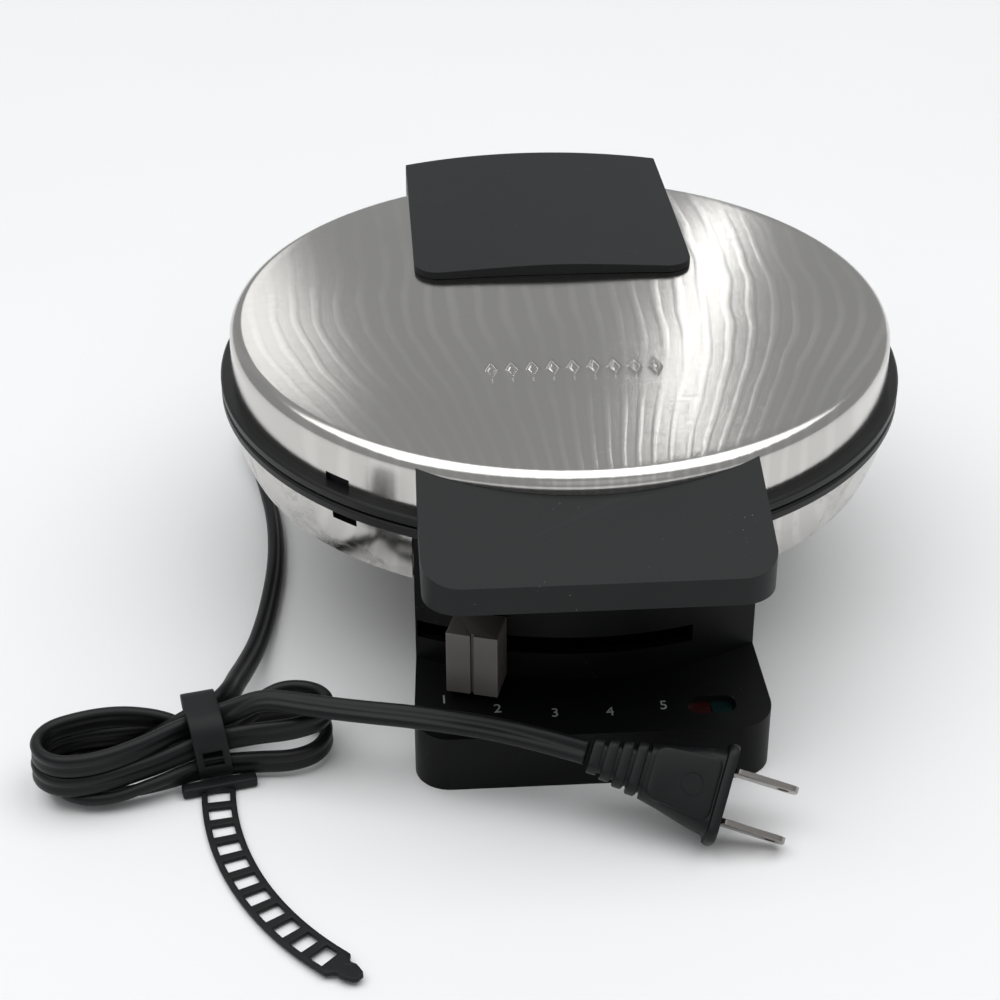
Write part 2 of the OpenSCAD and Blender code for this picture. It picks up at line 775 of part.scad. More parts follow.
module rear_housing() {
    color(black) difference() {
        union() {
            difference() {
                rear_form(0);
                translate([0, 0, -wall]) rear_form(wall);
                translate([0, 0, -1]) linear_extrude(housing_z + base_t + 1)
                    rear_plan(wall);
                translate([-rear_w / 2 + wall, housing_in - 1, inner_wall_top])
                    cube([rear_w - 2 * wall, wall + 2, 60]);
            }
            base_ears();
            intersection() {
                for (s = [-1, 1])
                    translate([s * rear_boss[0], rear_boss[1], housing_z + base_t])
                        cylinder(r = boss_r, h = rear_step);
                rear_form(0);
            }
        }
        housing_room();
        hinge_bore(pin_r, ear_out + 1);
        hinge_bore(knuckle_r + 0.5, lid_knuckle + knuckle_gap);
        for (s = [-1, 1]) translate([s * rear_boss[0], rear_boss[1], 0])
            cylinder(r = screw_r, h = housing_z + base_t + screw_depth);
        translate([-rear_w / 2 - 1, bushing_y, bushing_z]) rotate([0, 90, 0])
            cylinder(r = cord_w / 2 + 1, h = wall + 2);
    }
}

module rear_base_plate() {
    color(black) translate([0, 0, housing_z]) difference() {
        linear_extrude(base_t) rear_plan(wall + 0.1);
        for (s = [-1, 1]) {
            translate([s * rear_boss[0], rear_boss[1], 0]) screw_hole(base_t + 1);
            translate([s * rear_foot[0], rear_foot[1], -1]) cylinder(r = stem_r, h = base_t + 2);
        }
    }
}

module rear_feet() {
    color(rubber) for (s = [-1, 1])
        translate([s * rear_foot[0], rear_foot[1], 0]) foot();
}

module base_plate_screws() {
    color(steel) for (s = [-1, 1], at = [[front_boss[0], -front_boss[1]],
                                        [rear_boss[0], rear_boss[1]]])
        translate([s * at[0], at[1], housing_z]) rotate([0, 0, 30]) flush_screw(base_t + screw_depth);
}

// A screw whose low head stands in the height of the feet
module flush_screw(length) {
    cylinder(r = screw_r, h = length);
    translate([0, 0, -foot_h * 0.7]) cylinder(r = head_r, h = foot_h * 0.7);
}

module hinge_pin() {
    color(steel) hinge_bore(pin_r, ear_out);
}

module terminal_block() {
    size = terminal_size;
    color([0.82, 0.8, 0.74]) translate([-size[0] / 2, terminal_y, housing_z + base_t])
        difference() {
            cube(size);
            for (x = [size[0] / 4, size[0] * 3 / 4]) translate([x, size[1] / 2, size[2] / 2])
                cylinder(r = screw_r, h = size[2]);
        }
}

// A round wire through a list of points
module wire(points) sweep([for (p = points) concat(p, [0])], wire_d, wire_d);

module base_wiring() {
    y0 = terminal_y + terminal_size[1] / 2;
    low = housing_z + base_t + terminal_size[2] + 1;
    rise_y = housing_in + 8;
    color([0.75, 0.15, 0.1]) for (s = [-1, 1])
        wire([[s * 5, y0, low], [s * 5, y0 - 1, low + 4], [s * 5, rise_y + 6, low + 9],
              [s * 7, rise_y, lower_element_z - 9], [s * 12, rise_y - 3, lower_element_z - 4]]);
}

module cord_bushing() {
    x0 = -rear_w / 2;
    color(rubber) translate([x0, bushing_y, bushing_z]) rotate([0, -90, 0])
        rotate_extrude() polygon([
            [0, -wall - 3], [cord_w / 2 + 3, -wall - 3], [cord_w / 2 + 3, -wall],
            [cord_w / 2 + 1, -wall], [cord_w / 2 + 1, 0], [cord_w / 2 + bushing_base, 0],
            [cord_w / 2 + bushing_base - 0.6, 2], [cord_w / 2 + 0.5, bushing_l],
            [0, bushing_l]]);
}

// ---------------------------------------------------------------- lid

module upper_ring() {
    color(black) difference() {
        ring_body(upper_ring_z, 1, cover_r - sheet - touch);
        at_angles(lug_angles) translate([lug_r, 0, upper_ring_top - 2])
            cylinder(r = screw_r, h = 2 + eps);
    }
}

module upper_plate() {
    color(cast) translate([0, 0, upper_plate_top]) mirror([0, 0, 1])
        cast_plate(upper_floor - part_z - rim_gap, upper_plate_top - upper_ring_top - lug_t);
}

module upper_plate_screws() {
    color(steel) at_angles(lug_angles)
        translate([lug_r, 0, upper_ring_top + lug_t]) mirror([0, 0, 1])
            screw(lug_t + 2, lug_head_r);
}

module upper_element() color([0.3, 0.31, 0.3]) element(upper_element_z);

module upper_element_clips() color(steel) element_clips(upper_plate_top, 1);

module upper_heat_shield() {
    color(steel) translate([0, 0, upper_shield_z]) cylinder(r = upper_shield_r, h = shield_t);
}

module upper_wiring() {
    y0 = housing_in + 2;
    color([0.75, 0.15, 0.1]) for (s = [-1, 1])
        wire([[s * 14, y0, upper_element_z], [s * 10, y0 + 8, upper_element_z],
              [s * 3, y0 + 17, upper_plate_top + 2]]);
}

// Everything under the handle's sloping top, lowered by inset
module under_handle_top(inset) {
    difference() {
        translate([-100, -200, 0]) cube([200, 200, 120]);
        above_plane(handle_top0 - inset, -handle_y0, -handle_slope);
    }
}

module handle_form(inset) {
    intersection() {
        translate([0, 0, handle_z - (inset > 0 ? 1 : 0)]) linear_extrude(60)
            mirror([0, 1]) housing_plan(handle_w / 2 - inset, handle_w / 2 - inset,
                                        handle_back, handle_back + 1, handle_reach - inset,
                                        max(handle_corner - inset, 1));
        under_handle_top(inset);
    }
}

module front_handle() {
    color(charcoal) difference() {
        union() {
            difference() {
                handle_form(0);
                difference() {
                    handle_form(wall);
                    cylinder(r = cover_r + wall, h = 200);
                }
            }
            intersection() {
                mirrored_x() translate([handle_screw_x, -cover_r + 6, handle_screw_z])
                    rotate([90, 0, 0]) cylinder(r = boss_r, h = 18);
                handle_form(0);
            }
        }
        cover_solid(-0.05, 0);
        translate([0, 0, -eps]) cylinder(r = ring_r + touch, h = upper_ring_top + touch);
        mirrored_x() translate([handle_screw_x, -cover_r + 12, handle_screw_z])
            rotate([90, 0, 0]) cylinder(r = screw_r, h = 22);
    }
}

module handle_screws() {
    seat = sqrt(pow(cover_r - sheet, 2) - pow(handle_screw_x + head_r, 2)) - 0.4;
    color(steel) mirrored_x() translate([handle_screw_x, -seat, handle_screw_z])
        rotate([90, 0, 0]) screw(cover_r - seat + 8);
}

module hinge_bracket() {
    color(black) difference() {
        union() {
            translate([0, hinge_y, hinge_z]) rotate([0, 90, 0])
                translate([0, 0, -lid_knuckle]) cylinder(r = knuckle_r, h = 2 * lid_knuckle);
            translate([-lid_knuckle, ring_r + touch, upper_ring_z + 0.2])
                cube([2 * lid_knuckle, hinge_y - ring_r - touch, 4]);
            translate([-lid_knuckle, ring_r + touch, upper_ring_z + 0.2])
                cube([2 * lid_knuckle, bracket_y - ring_r - touch, bracket_z - upper_ring_z]);
            translate([-bracket_half, cover_r * 0.8, bracket_z])
                cube([2 * bracket_half, bracket_y - cover_r * 0.8, bracket_top - bracket_z]);
        }
        cylinder(r = cover_r + 0.05, h = 200);
        cylinder(r = ring_r + touch, h = upper_ring_top + touch);
        hinge_bore(pin_r + run_gap, lid_knuckle + 1);
        mirrored_x() {
            translate([bracket_screw_x, cover_r - 6, bracket_screw_z]) rotate([-90, 0, 0])
                cylinder(r = screw_r, h = 14);
            translate([cap_screw[0], cap_screw[1], bracket_z]) screw_hole(40);
        }
    }
}

module bracket_screws() {
    seat = sqrt(pow(cover_r - sheet, 2) - pow(bracket_screw_x + head_r, 2)) - 0.2;
    color(steel) mirrored_x() translate([bracket_screw_x, seat, bracket_screw_z])
        rotate([-90, 0, 0]) screw(cover_r - seat + 6);
}

// Side profile of the cap's round rear edge, turned about the plates' axis
module cap_round(inset) {
    r = cap_r - inset;
    f = max(cap_fillet - inset, 0.5);
    top = cap_top0 - cap_slope * (cap_r - cap_front) - inset;
    rotate_extrude() polygon(concat(
        [[0, cap_low - (inset > 0 ? 1 : 0)], [r, cap_low - (inset > 0 ? 1 : 0)]],
        [for (k = [0 : curve_n]) let (a = 90 * k / curve_n)
            [r - f + f * cos(a), top - f + f * sin(a)]],
        [[r - f - 2, top + 2 * cap_slope], [0, top + cap_slope * cap_r]]));
}

module cap_form(inset) {
    half = cap_w / 2 - inset;
    c = max(8 - inset, 1);
    intersection() {
        cap_round(inset);
        linear_extrude(200) {
            for (s = [-1, 1]) translate([s * (half - c), cap_front + inset + c]) circle(r = c);
            translate([-half + c, cap_front + inset]) square([2 * (half - c), 120]);
            translate([-half, cap_front + inset + c]) square([2 * half, 120]);
        }
        difference() {
            translate([-100, 0, 0]) cube([200, 200, 120]);
            above_plane(cap_top0 - inset, cap_front, -cap_slope);
        }
    }
}

module rear_cap() {
    color(charcoal) difference() {
        union() {
            difference() {
                cap_form(0);
                difference() {
                    cap_form(wall);
                    cylinder(r = cover_r - 1, h = 200);
                }
            }
            intersection() {
                mirrored_x() translate([cap_screw[0], cap_screw[1], bracket_top])
                    cylinder(r = boss_r, h = 20);
                cap_form(0);
            }
        }
        cover_solid(-0.05, 0);
        mirrored_x() translate([cap_screw[0], cap_screw[1], bracket_top - 1])
            cylinder(r = screw_r, h = 4);
    }
}

module rear_cap_screws() {
    color(steel) mirrored_x() translate([cap_screw[0], cap_screw[1], bracket_z])
        screw(bracket_top - bracket_z + 3);
}

// ---------------------------------------------------------------- browning lever

module browning_knob() {
    color([0.36, 0.33, 0.32]) towards(knob_angle) difference() {
        translate([knob_r0, -knob_w / 2, knob_z]) cube([knob_d, knob_w, knob_h]);
        translate([knob_r0 + knob_d - 0.9, -0.35, knob_z - 1]) cube([2, 0.7, knob_h + 2]);
        translate([knob_r0 - eps, -arm_w / 2 + 1, tongue_z]) cube([6, arm_w - 2, tongue_h]);
    }
}

module control_lever() {
    color(steel) towards(knob_angle) difference() {
        union() {
            translate([0, 0, arm_z]) cylinder(r = hub_r, h = arm_t);
            translate([0, -arm_w / 2, arm_z]) cube([leg_r, arm_w, arm_t]);
            translate([leg_r - arm_t, -arm_w / 2, tongue_z])
                cube([arm_t, arm_w, arm_z + arm_t - tongue_z]);
            translate([leg_r - arm_t, -arm_w / 2 + 1, tongue_z])
                cube([knob_r0 + 6 - leg_r + arm_t, arm_w - 2, tongue_h]);
        }
        translate([0, 0, arm_z - 1]) cylinder(r = shaft_r, h = arm_t + 2);
    }
}

module thermostat_shaft() {
    color(steel) translate([0, 0, shaft_z]) cylinder(r = shaft_r, h = lower_plate_z - shaft_z - 3);
}

// ---------------------------------------------------------------- mains lead

function unit(v) = v / norm(v);

function heading(p, k) = let (a = max(k - 1, 0), b = min(k + 1, len(p) - 1),
    d = [for (i = [0 : 2]) p[b][i] - p[a][i]]) unit(d);

// Eight points round the section at one route point
function section(p, k, w, t) = let (d = heading(p, k), side = unit(cross(d, [0, 0, 1])),
    up = cross(side, d), turn = p[k][3]) [for (i = [0 : 7])
        let (a = 22.5 + 45 * i, u = w / 2 * cos(a) / cos(22.5), v = t / 2 * sin(a) / cos(22.5))
        [p[k][0], p[k][1], p[k][2]] + side * (u * cos(turn) - v * sin(turn))
            + up * (u * sin(turn) + v * cos(turn))];

// A solid of the width w and thickness t along a route
module sweep(p, w, t) {
    n = len(p);
    points = [for (k = [0 : n - 1]) each section(p, k, w, t)];
    walls = [for (k = [0 : n - 2], i = [0 : 7]) let (j = (i + 1) % 8, a = 8 * k)
        each [[a + i, a + j, a + 8 + j], [a + i, a + 8 + j, a + 8 + i]]];
    ends = [for (i = [1 : 6]) each [[0, i + 1, i], [8 * n - 8, 8 * n - 8 + i, 8 * n - 7 + i]]];
    polyhedron(points, concat(walls, ends));
}

module cord_tail() color(rubber) sweep(tail_route, cord_w, cord_t);

module cord_lead() color(rubber) sweep(lead_route, cord_w, cord_t);

// Two round ends and a waist where the tie pinches them together
module hank_plan() {
    long = norm(hank_b - hank_a);
    waist = [for (x = [-1, 1]) tie_along + x * (tie_w / 2 + 1)];
    side = [[0, hank_half], [waist[0], tie_half], [waist[1], tie_half], [long, hank_half]];
    translate(hank_a) rotate(hank_dir) {
        polygon(concat(side, [for (k = [3 : -1 : 0]) [side[k][0], -side[k][1]]]));
        for (x = [0, long]) translate([x, 0]) circle(r = hank_half);
    }
}

module cord_hank() {
    color(rubber) translate([0, 0, hank_z]) linear_extrude(hank_h) hank_plan();
}

module tail_arc(w, h, sweep) {
    rotate([0, 0, 180]) rotate_extrude(angle = sweep)
        translate([tail_r - w / 2, 0]) square([w, h]);
}

// Necked and rounded end of the tie's tail
module tie_tip() {
    w = tie_w;
    linear_extrude(tie_t) {
        polygon([[-w / 2, -0.5], [w / 2, -0.5], [w / 2, 1], [w / 4, 2.5], [w / 3.2, 4.2],
                 [w / 5, 6.4], [-w / 5, 6.4], [-w / 3.2, 4.2], [-w / 4, 2.5], [-w / 2, 1]]);
        translate([0, 6.4]) circle(r = w / 5, $fn = 32);
    }
}

module cord_tie() {
    color(rubber) {
        translate([tie_at[0], tie_at[1], hank_z]) rotate([0, 0, hank_dir])
            rotate([90, 0, 90]) translate([0, 0, -tie_w / 2]) linear_extrude(tie_w)
                difference() {
                    translate([-tie_half - tie_t, -tie_t])
                        square([2 * (tie_half + tie_t), hank_h + 2 * tie_t]);
                    translate([-tie_half, 0]) square([2 * tie_half, hank_h]);
                }
        difference() {
            union() {
                translate([tail_centre[0], tail_centre[1], 0]) {
                    tail_arc(tie_w, tie_t, tail_sweep);
                    rotate([0, 0, 180 + tail_sweep]) translate([tail_r, 0, 0]) tie_tip();
                }
                translate(tie_at) rotate(hank_dir)
                    translate([-tie_head[0] / 2, -tie_half - tie_t - tie_head[1] + 0.1, 0])
                        cube(tie_head);
            }
            translate([0, 0, hank_z]) linear_extrude(hank_h) hank_plan();
            translate([tail_centre[0], tail_centre[1], -1])
                for (k = [0 : window_n - 1])
                    rotate([0, 0, 180 + window_first + window_step * k])
                        translate([tail_r - tie_w / 2 + window_edge, 0, 0])
                            cube([tie_w - 2 * window_edge, window_l, tie_head[2] + 1]);
        }
    }
}

module plug_frame() translate(plug_at) rotate(plug_turn) children();

module plug_relief() {
    color(rubber) plug_frame() {
        translate([relief_x, 0, 0]) rotate([0, 90, 0]) rotate([0, 0, 90]) {
            for (k = [0 : rib_n - 1]) translate([0, 0, rib_step * k])
                linear_extrude(k < rib_n - 1 ? rib_t : rib_step)
                    stadium(9.6 + 1.4 * k, 6 + 0.7 * k);
            linear_extrude(relief_l) stadium(relief_size[0], relief_size[1]);
        }
    }
}

module plug_body() {
    color(rubber) plug_frame() {
        translate([0, 0, -plug_t / 2]) linear_extrude(plug_t) polygon(plug_outline);
    }
}

module plug_blades() {
    color(steel) plug_frame() for (s = [-1, 1])
        translate([flange_x, s * blade_pitch / 2 - blade_t / 2, -blade_w / 2])
            cube([blade_l, blade_t, blade_w]);
}

lower_ring();
lower_skirt();
bottom_cover();
lower_plate();
lower_plate_screws();
lower_element();
lower_element_clips();
lower_heat_shield();
thermostat_body();
thermal_fuse();
bottom_cover_screws();
control_housing();
control_base_plate();
front_feet();
red_lens();
green_lens();
red_lamp();
green_lamp();
rear_housing();
rear_base_plate();
rear_feet();
base_plate_screws();
hinge_pin();
terminal_block();
base_wiring();
cord_bushing();
lid_cover();
upper_ring();
upper_plate();
upper_plate_screws();
upper_element();
upper_element_clips();
upper_heat_shield();
upper_wiring();
front_handle();
handle_screws();
hinge_bracket();
bracket_screws();
rear_cap();
rear_cap_screws();
browning_knob();
control_lever();
thermostat_shaft();
cord_tail();
cord_hank();
cord_lead();
cord_tie();
plug_relief();
plug_body();
plug_blades();
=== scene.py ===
"""Round waffle maker: the visual model, laid out as an add-on and run as a script."""

import json
import math
from contextlib import contextmanager

import bmesh
import bpy
import numpy as np
from bpy.props import FloatProperty, FloatVectorProperty, IntProperty, PointerProperty
from mathutils import Matrix, Vector


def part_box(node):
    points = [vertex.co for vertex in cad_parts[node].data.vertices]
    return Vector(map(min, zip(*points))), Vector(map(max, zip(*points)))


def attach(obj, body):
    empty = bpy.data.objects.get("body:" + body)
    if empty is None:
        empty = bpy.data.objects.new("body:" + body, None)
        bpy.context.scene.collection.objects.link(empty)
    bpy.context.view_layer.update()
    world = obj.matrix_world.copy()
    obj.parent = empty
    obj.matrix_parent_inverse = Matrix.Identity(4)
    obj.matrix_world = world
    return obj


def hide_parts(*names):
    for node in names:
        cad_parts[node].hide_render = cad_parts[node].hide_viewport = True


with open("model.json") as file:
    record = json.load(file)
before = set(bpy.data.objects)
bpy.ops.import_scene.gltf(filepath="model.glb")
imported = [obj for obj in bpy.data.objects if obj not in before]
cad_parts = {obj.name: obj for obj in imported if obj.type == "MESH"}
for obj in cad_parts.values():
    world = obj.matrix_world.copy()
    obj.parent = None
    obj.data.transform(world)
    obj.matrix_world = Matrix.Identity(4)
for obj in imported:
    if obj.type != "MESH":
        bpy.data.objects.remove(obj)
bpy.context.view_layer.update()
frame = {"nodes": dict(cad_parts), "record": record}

bl_info = {
    "name": "Waffle Maker",
    "version": (1, 0, 0),
    "blender": (4, 5, 0),
    "location": "3D View > Sidebar > Waffle Maker",
    "description": "Makes the pieces, finishes and stage of a round waffle maker",
    "category": "Object",
}

TURNS = 256             # facets round a turned piece

# The camera: its place, its right, up and back directions, and its sensor and lens in mm
CAMERA_AT = (-0.052525, -0.544143, 0.352488)
CAMERA_AXES = ((0.997758, -0.066895, -0.001845), (0.036785, 0.525202, 0.850182),
               (-0.055904, -0.848344, 0.526486))
SENSOR = 36.0
LENS = 78.39
NEAR = 0.01

# The stage: half the floor's width, the sky's colour, and each light's name, place, target,
# size and power
FLOOR_REACH = 4.0
SKY = (0.38, 0.385, 0.39, 1)
LIGHTS = (("overhead", (0.0, 0.0, 1.7), (0.0, 0.0, 0), (3.6, 2.0), 40.0),
          ("tall_strip", (0.49, 2.15, 1.27), (0.05, 0, 0.08), (0.04, 1.1), 0.75),
          ("left_soft", (-0.42, 2.15, 1.15), (-0.05, 0, 0.08), (0.26, 0.8), 0.75),
          ("front_fill", (0.3, -1.6, 0.9), (0, 0, 0.05), (1.2, 0.8), 0.5))

# Heights and radii that the frame gives, and the steel sheets' own shape
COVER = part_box("lid_cover")
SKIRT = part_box("lower_skirt")
COVER_R = COVER[1].x
COVER_LOW = COVER[0].z
CROWN_H = 0.0036        # rise of the lid's crown
EDGE_Z = COVER[1].z - CROWN_H
SHOULDER = 0.004        # radius of the lid's edge
SHEET = 0.0008          # thickness of the steel
NOTCH_HALF = 0.004      # half the width of a notch
NOTCH_H = 0.0028        # height of a notch
SKIRT_R = 0.0935        # radius of the skirt's top
SKIRT_DRAW = 0.004      # how far the skirt draws in below
FLANGE_R = 0.0815       # inner radius of the skirt's flange
FRONT_GAP = 0.04438     # half the gap in the skirt at the front housing
REAR_GAP = 0.0383       # half the gap at the rear housing

# The mains lead: its flat section, the spacing of the points it is drawn through, and its
# route as x, y, z in metres and the turn of the section in degrees
LEAD_WIDTH = 0.0062
LEAD_DEPTH = 0.0032
LEAD_STEP = 0.0016
TAIL_ROUTE = [
    (-0.064, 0.090, 0.013, 0), (-0.0745, 0.088, 0.012, 15), (-0.0835, 0.082, 0.0105, 30),
    (-0.0895, 0.073, 0.0085, 45), (-0.092, 0.062, 0.007, 55), (-0.091, 0.050, 0.0055, 60),
    (-0.0885, 0.038, 0.0045, 60), (-0.086, 0.025, 0.004, 60), (-0.084, 0.012, 0.0036, 60),
    (-0.083, -0.002, 0.0034, 60), (-0.083, -0.016, 0.0034, 60), (-0.084, -0.030, 0.0034, 60),
    (-0.0855, -0.044, 0.004, 60), (-0.0874, -0.057, 0.0054, 60), (-0.0896, -0.069, 0.008, 58),
    (-0.0914, -0.0795, 0.0112, 55), (-0.093, -0.0884, 0.0138, 60)]
LEAD_ROUTE = [
    (-0.090, -0.098, 0.0196, 165), (-0.0837, -0.100, 0.0199, 165),
    (-0.0738, -0.103, 0.0205, 162), (-0.065, -0.1062, 0.021, 160),
    (-0.0565, -0.109, 0.0215, 158), (-0.0466, -0.112, 0.022, 155),
    (-0.036, -0.1156, 0.0224, 152), (-0.026, -0.119, 0.0224, 148),
    (-0.0145, -0.1232, 0.0216, 142), (-0.004, -0.1271, 0.0203, 137)]

# The hank: the tie's middle, the turn of its length from X, and its folds' radius in mm
TIE_AT = (-0.09754, -0.09934)
HANK_TURN = math.atan2(0.012, 0.054)
FOLD_R = 9.7

# The tie: half the width and the thickness of its strap, then its band round the hank
STRAP_HALF = 0.0043
STRAP_T = 0.0012
BAND_LOW = 0.0013
BAND_HIGH = 0.0180
BAND_SIDE = 0.0089
BAND_ROUND = 0.0052
BAND_EDGE = 0.0018                  # solid edge beside the band's windows
BAND_WINDOWS = (0.0114, 0.0088)     # heights of the tops of the band's two windows
BAND_LEAN = -0.0016                 # how far the band's top leans along the hank

# The tie's ladder tail: the arc it lies on, and its windows and end in degrees along it
TAIL_MIDDLE = (-0.0011, -0.108)
TAIL_R = 0.0943
WINDOWS = 11
WINDOW_FIRST = 2.5
WINDOW_STEP = 4.04
WINDOW_L = 2.6
TAIL_END = 46.4
TAIL_EDGE = 0.0015      # solid edge beside the tail's windows
TAIL_LOW = 0.00015      # height of the strap's underside where it lies flat
TAIL_RISE = 0.0009      # how far its end has risen
RISE_FROM = 12          # where the rise begins, and over how many degrees
RISE_OVER = 35

# The plug: its place, and its heading, dip and roll in degrees. Its own X runs to the blades.
PLUG_PLACE = (0.0271, -0.1347, 0.012)
PLUG_HEADING = -14
PLUG_DIP = 14
PLUG_ROLL = 43
# Place along the plug, width, depth and corner radius of its body and flange
PLUG_STATIONS = (
    (-0.0180, 0.0137, 0.0084, 0.0032), (-0.0130, 0.0158, 0.0087, 0.0032),
    (-0.0080, 0.0184, 0.0090, 0.0032), (-0.0040, 0.0204, 0.0090, 0.0032),
    (-0.0012, 0.0214, 0.0090, 0.0032), (-0.0003, 0.0220, 0.0094, 0.0032),
    (0.0000, 0.0246, 0.0112, 0.0034), (0.0006, 0.0252, 0.0118, 0.0036),
    (0.0018, 0.0252, 0.0118, 0.0036), (0.0024, 0.0244, 0.0110, 0.0034))
# The relief's ribs, and the blades and their holes, along the plug
RIBS = 4
RIB_FIRST = -0.032
RIB_STEP = 0.0035
BLADE_MIDDLE = 0.0106
BLADE_L = 0.0169
BLADE_W = 0.0063
BLADE_HALF_PITCH = 0.00635
HOLE_AT = 0.0155
HOLE_R = 0.0015

# The row of lozenges on the lid: its place, its spacing and a lozenge's width and length
EMBLEM_Y = -0.0415
EMBLEM_STEP = 0.0054
LOZENGE_W = 0.0026
LOZENGE_L = 0.0062
LOZENGE_CELLS = 14

# The numbers: their angles and radius, the shelf's slope, front edge and height there, and
# half the thickness of the print
NUMBER_ANGLES = (-20.6, -13.1, -5.3, 2.2, 9.6)
NUMBER_R = 0.1070
SHELF_SLOPE = 0.125
SHELF_FRONT = 0.1144
SHELF_Z = 0.016
PRINT_HALF = 0.00003


# ---------------------------------------------------------------- sizes and colours

def length(name, text, value, low, high):
    """A length in metres that a user may change."""
    return FloatProperty(name=name, description=text, default=value, min=low, max=high,
                         precision=5, subtype="DISTANCE", unit="LENGTH")


def colour(name, text, value):
    """A linear colour that a user may change."""
    return FloatVectorProperty(name=name, description=text, default=value, size=3, min=0,
                               max=1, subtype="COLOR")


class WaffleSizes(bpy.types.PropertyGroup):
    """Sizes of the details that the frame leaves open."""

    moulding_round: length("Moulding edges", "Radius of the plastic mouldings' edges",
                           0.0011, 0.0002, 0.003)
    lead_width: length("Lead width", "Width of the flat two-core lead", LEAD_WIDTH, 0.004,
                       0.008)
    lead_depth: length("Lead thickness", "Thickness of the flat lead", LEAD_DEPTH, 0.002,
                       0.005)
    emblem_height: length("Emblem height", "Height of the raised lozenges on the lid",
                          0.0004, 0.0001, 0.001)
    emblem_count: IntProperty(name="Emblem lozenges", description="Lozenges in the lid's row",
                              default=9, min=1, max=15)
    number_height: length("Number height", "Height of the dial's numbers", 0.0031, 0.002,
                          0.006)


class WaffleColours(bpy.types.PropertyGroup):
    """Colours of the finishes."""

    steel: colour("Brushed steel", "Sheet steel of the lid and skirt", (0.60, 0.588, 0.565))
    handle: colour("Handle plastic", "Handle and rear cap", (0.0090, 0.0098, 0.0104))
    housing: colour("Housing plastic", "Front and rear housings", (0.0026, 0.0028, 0.0030))
    ring: colour("Ring plastic", "The two rings at the parting line", (0.0095, 0.0097, 0.0104))
    knob: colour("Knob", "Browning knob", (0.022, 0.0185, 0.0175))
    lead: colour("Lead", "Mains lead and plug", (0.0052, 0.0056, 0.0062))
    cast: colour("Baking plates", "Coated cast plates", (0.030, 0.0295, 0.029))
    mark: colour("Dial numbers", "Printed numbers", (0.17, 0.175, 0.18))


# ---------------------------------------------------------------- shader tools

class Value:
    """A number in a shader. Sums and products of it add the Math nodes that they need."""

    def __init__(self, finish, socket):
        self.finish = finish
        self.socket = socket

    def maths(self, operation, first, second=0.0, clamp=False):
        node = self.finish.node("ShaderNodeMath",
                                {"operation": operation, "use_clamp": clamp},
                                {0: first, 1: second})
        return Value(self.finish, node.outputs[0])

    def __add__(self, other):
        return self.maths("ADD", self, other)

    def __rsub__(self, other):
        return self.maths("SUBTRACT", other, self)

    def __mul__(self, other):
        return self.maths("MULTIPLY", self, other)

    __radd__ = __add__
    __rmul__ = __mul__

    def held(self):
        """The value kept between 0 and 1."""
        return self.maths("ADD", self, 0.0, True)


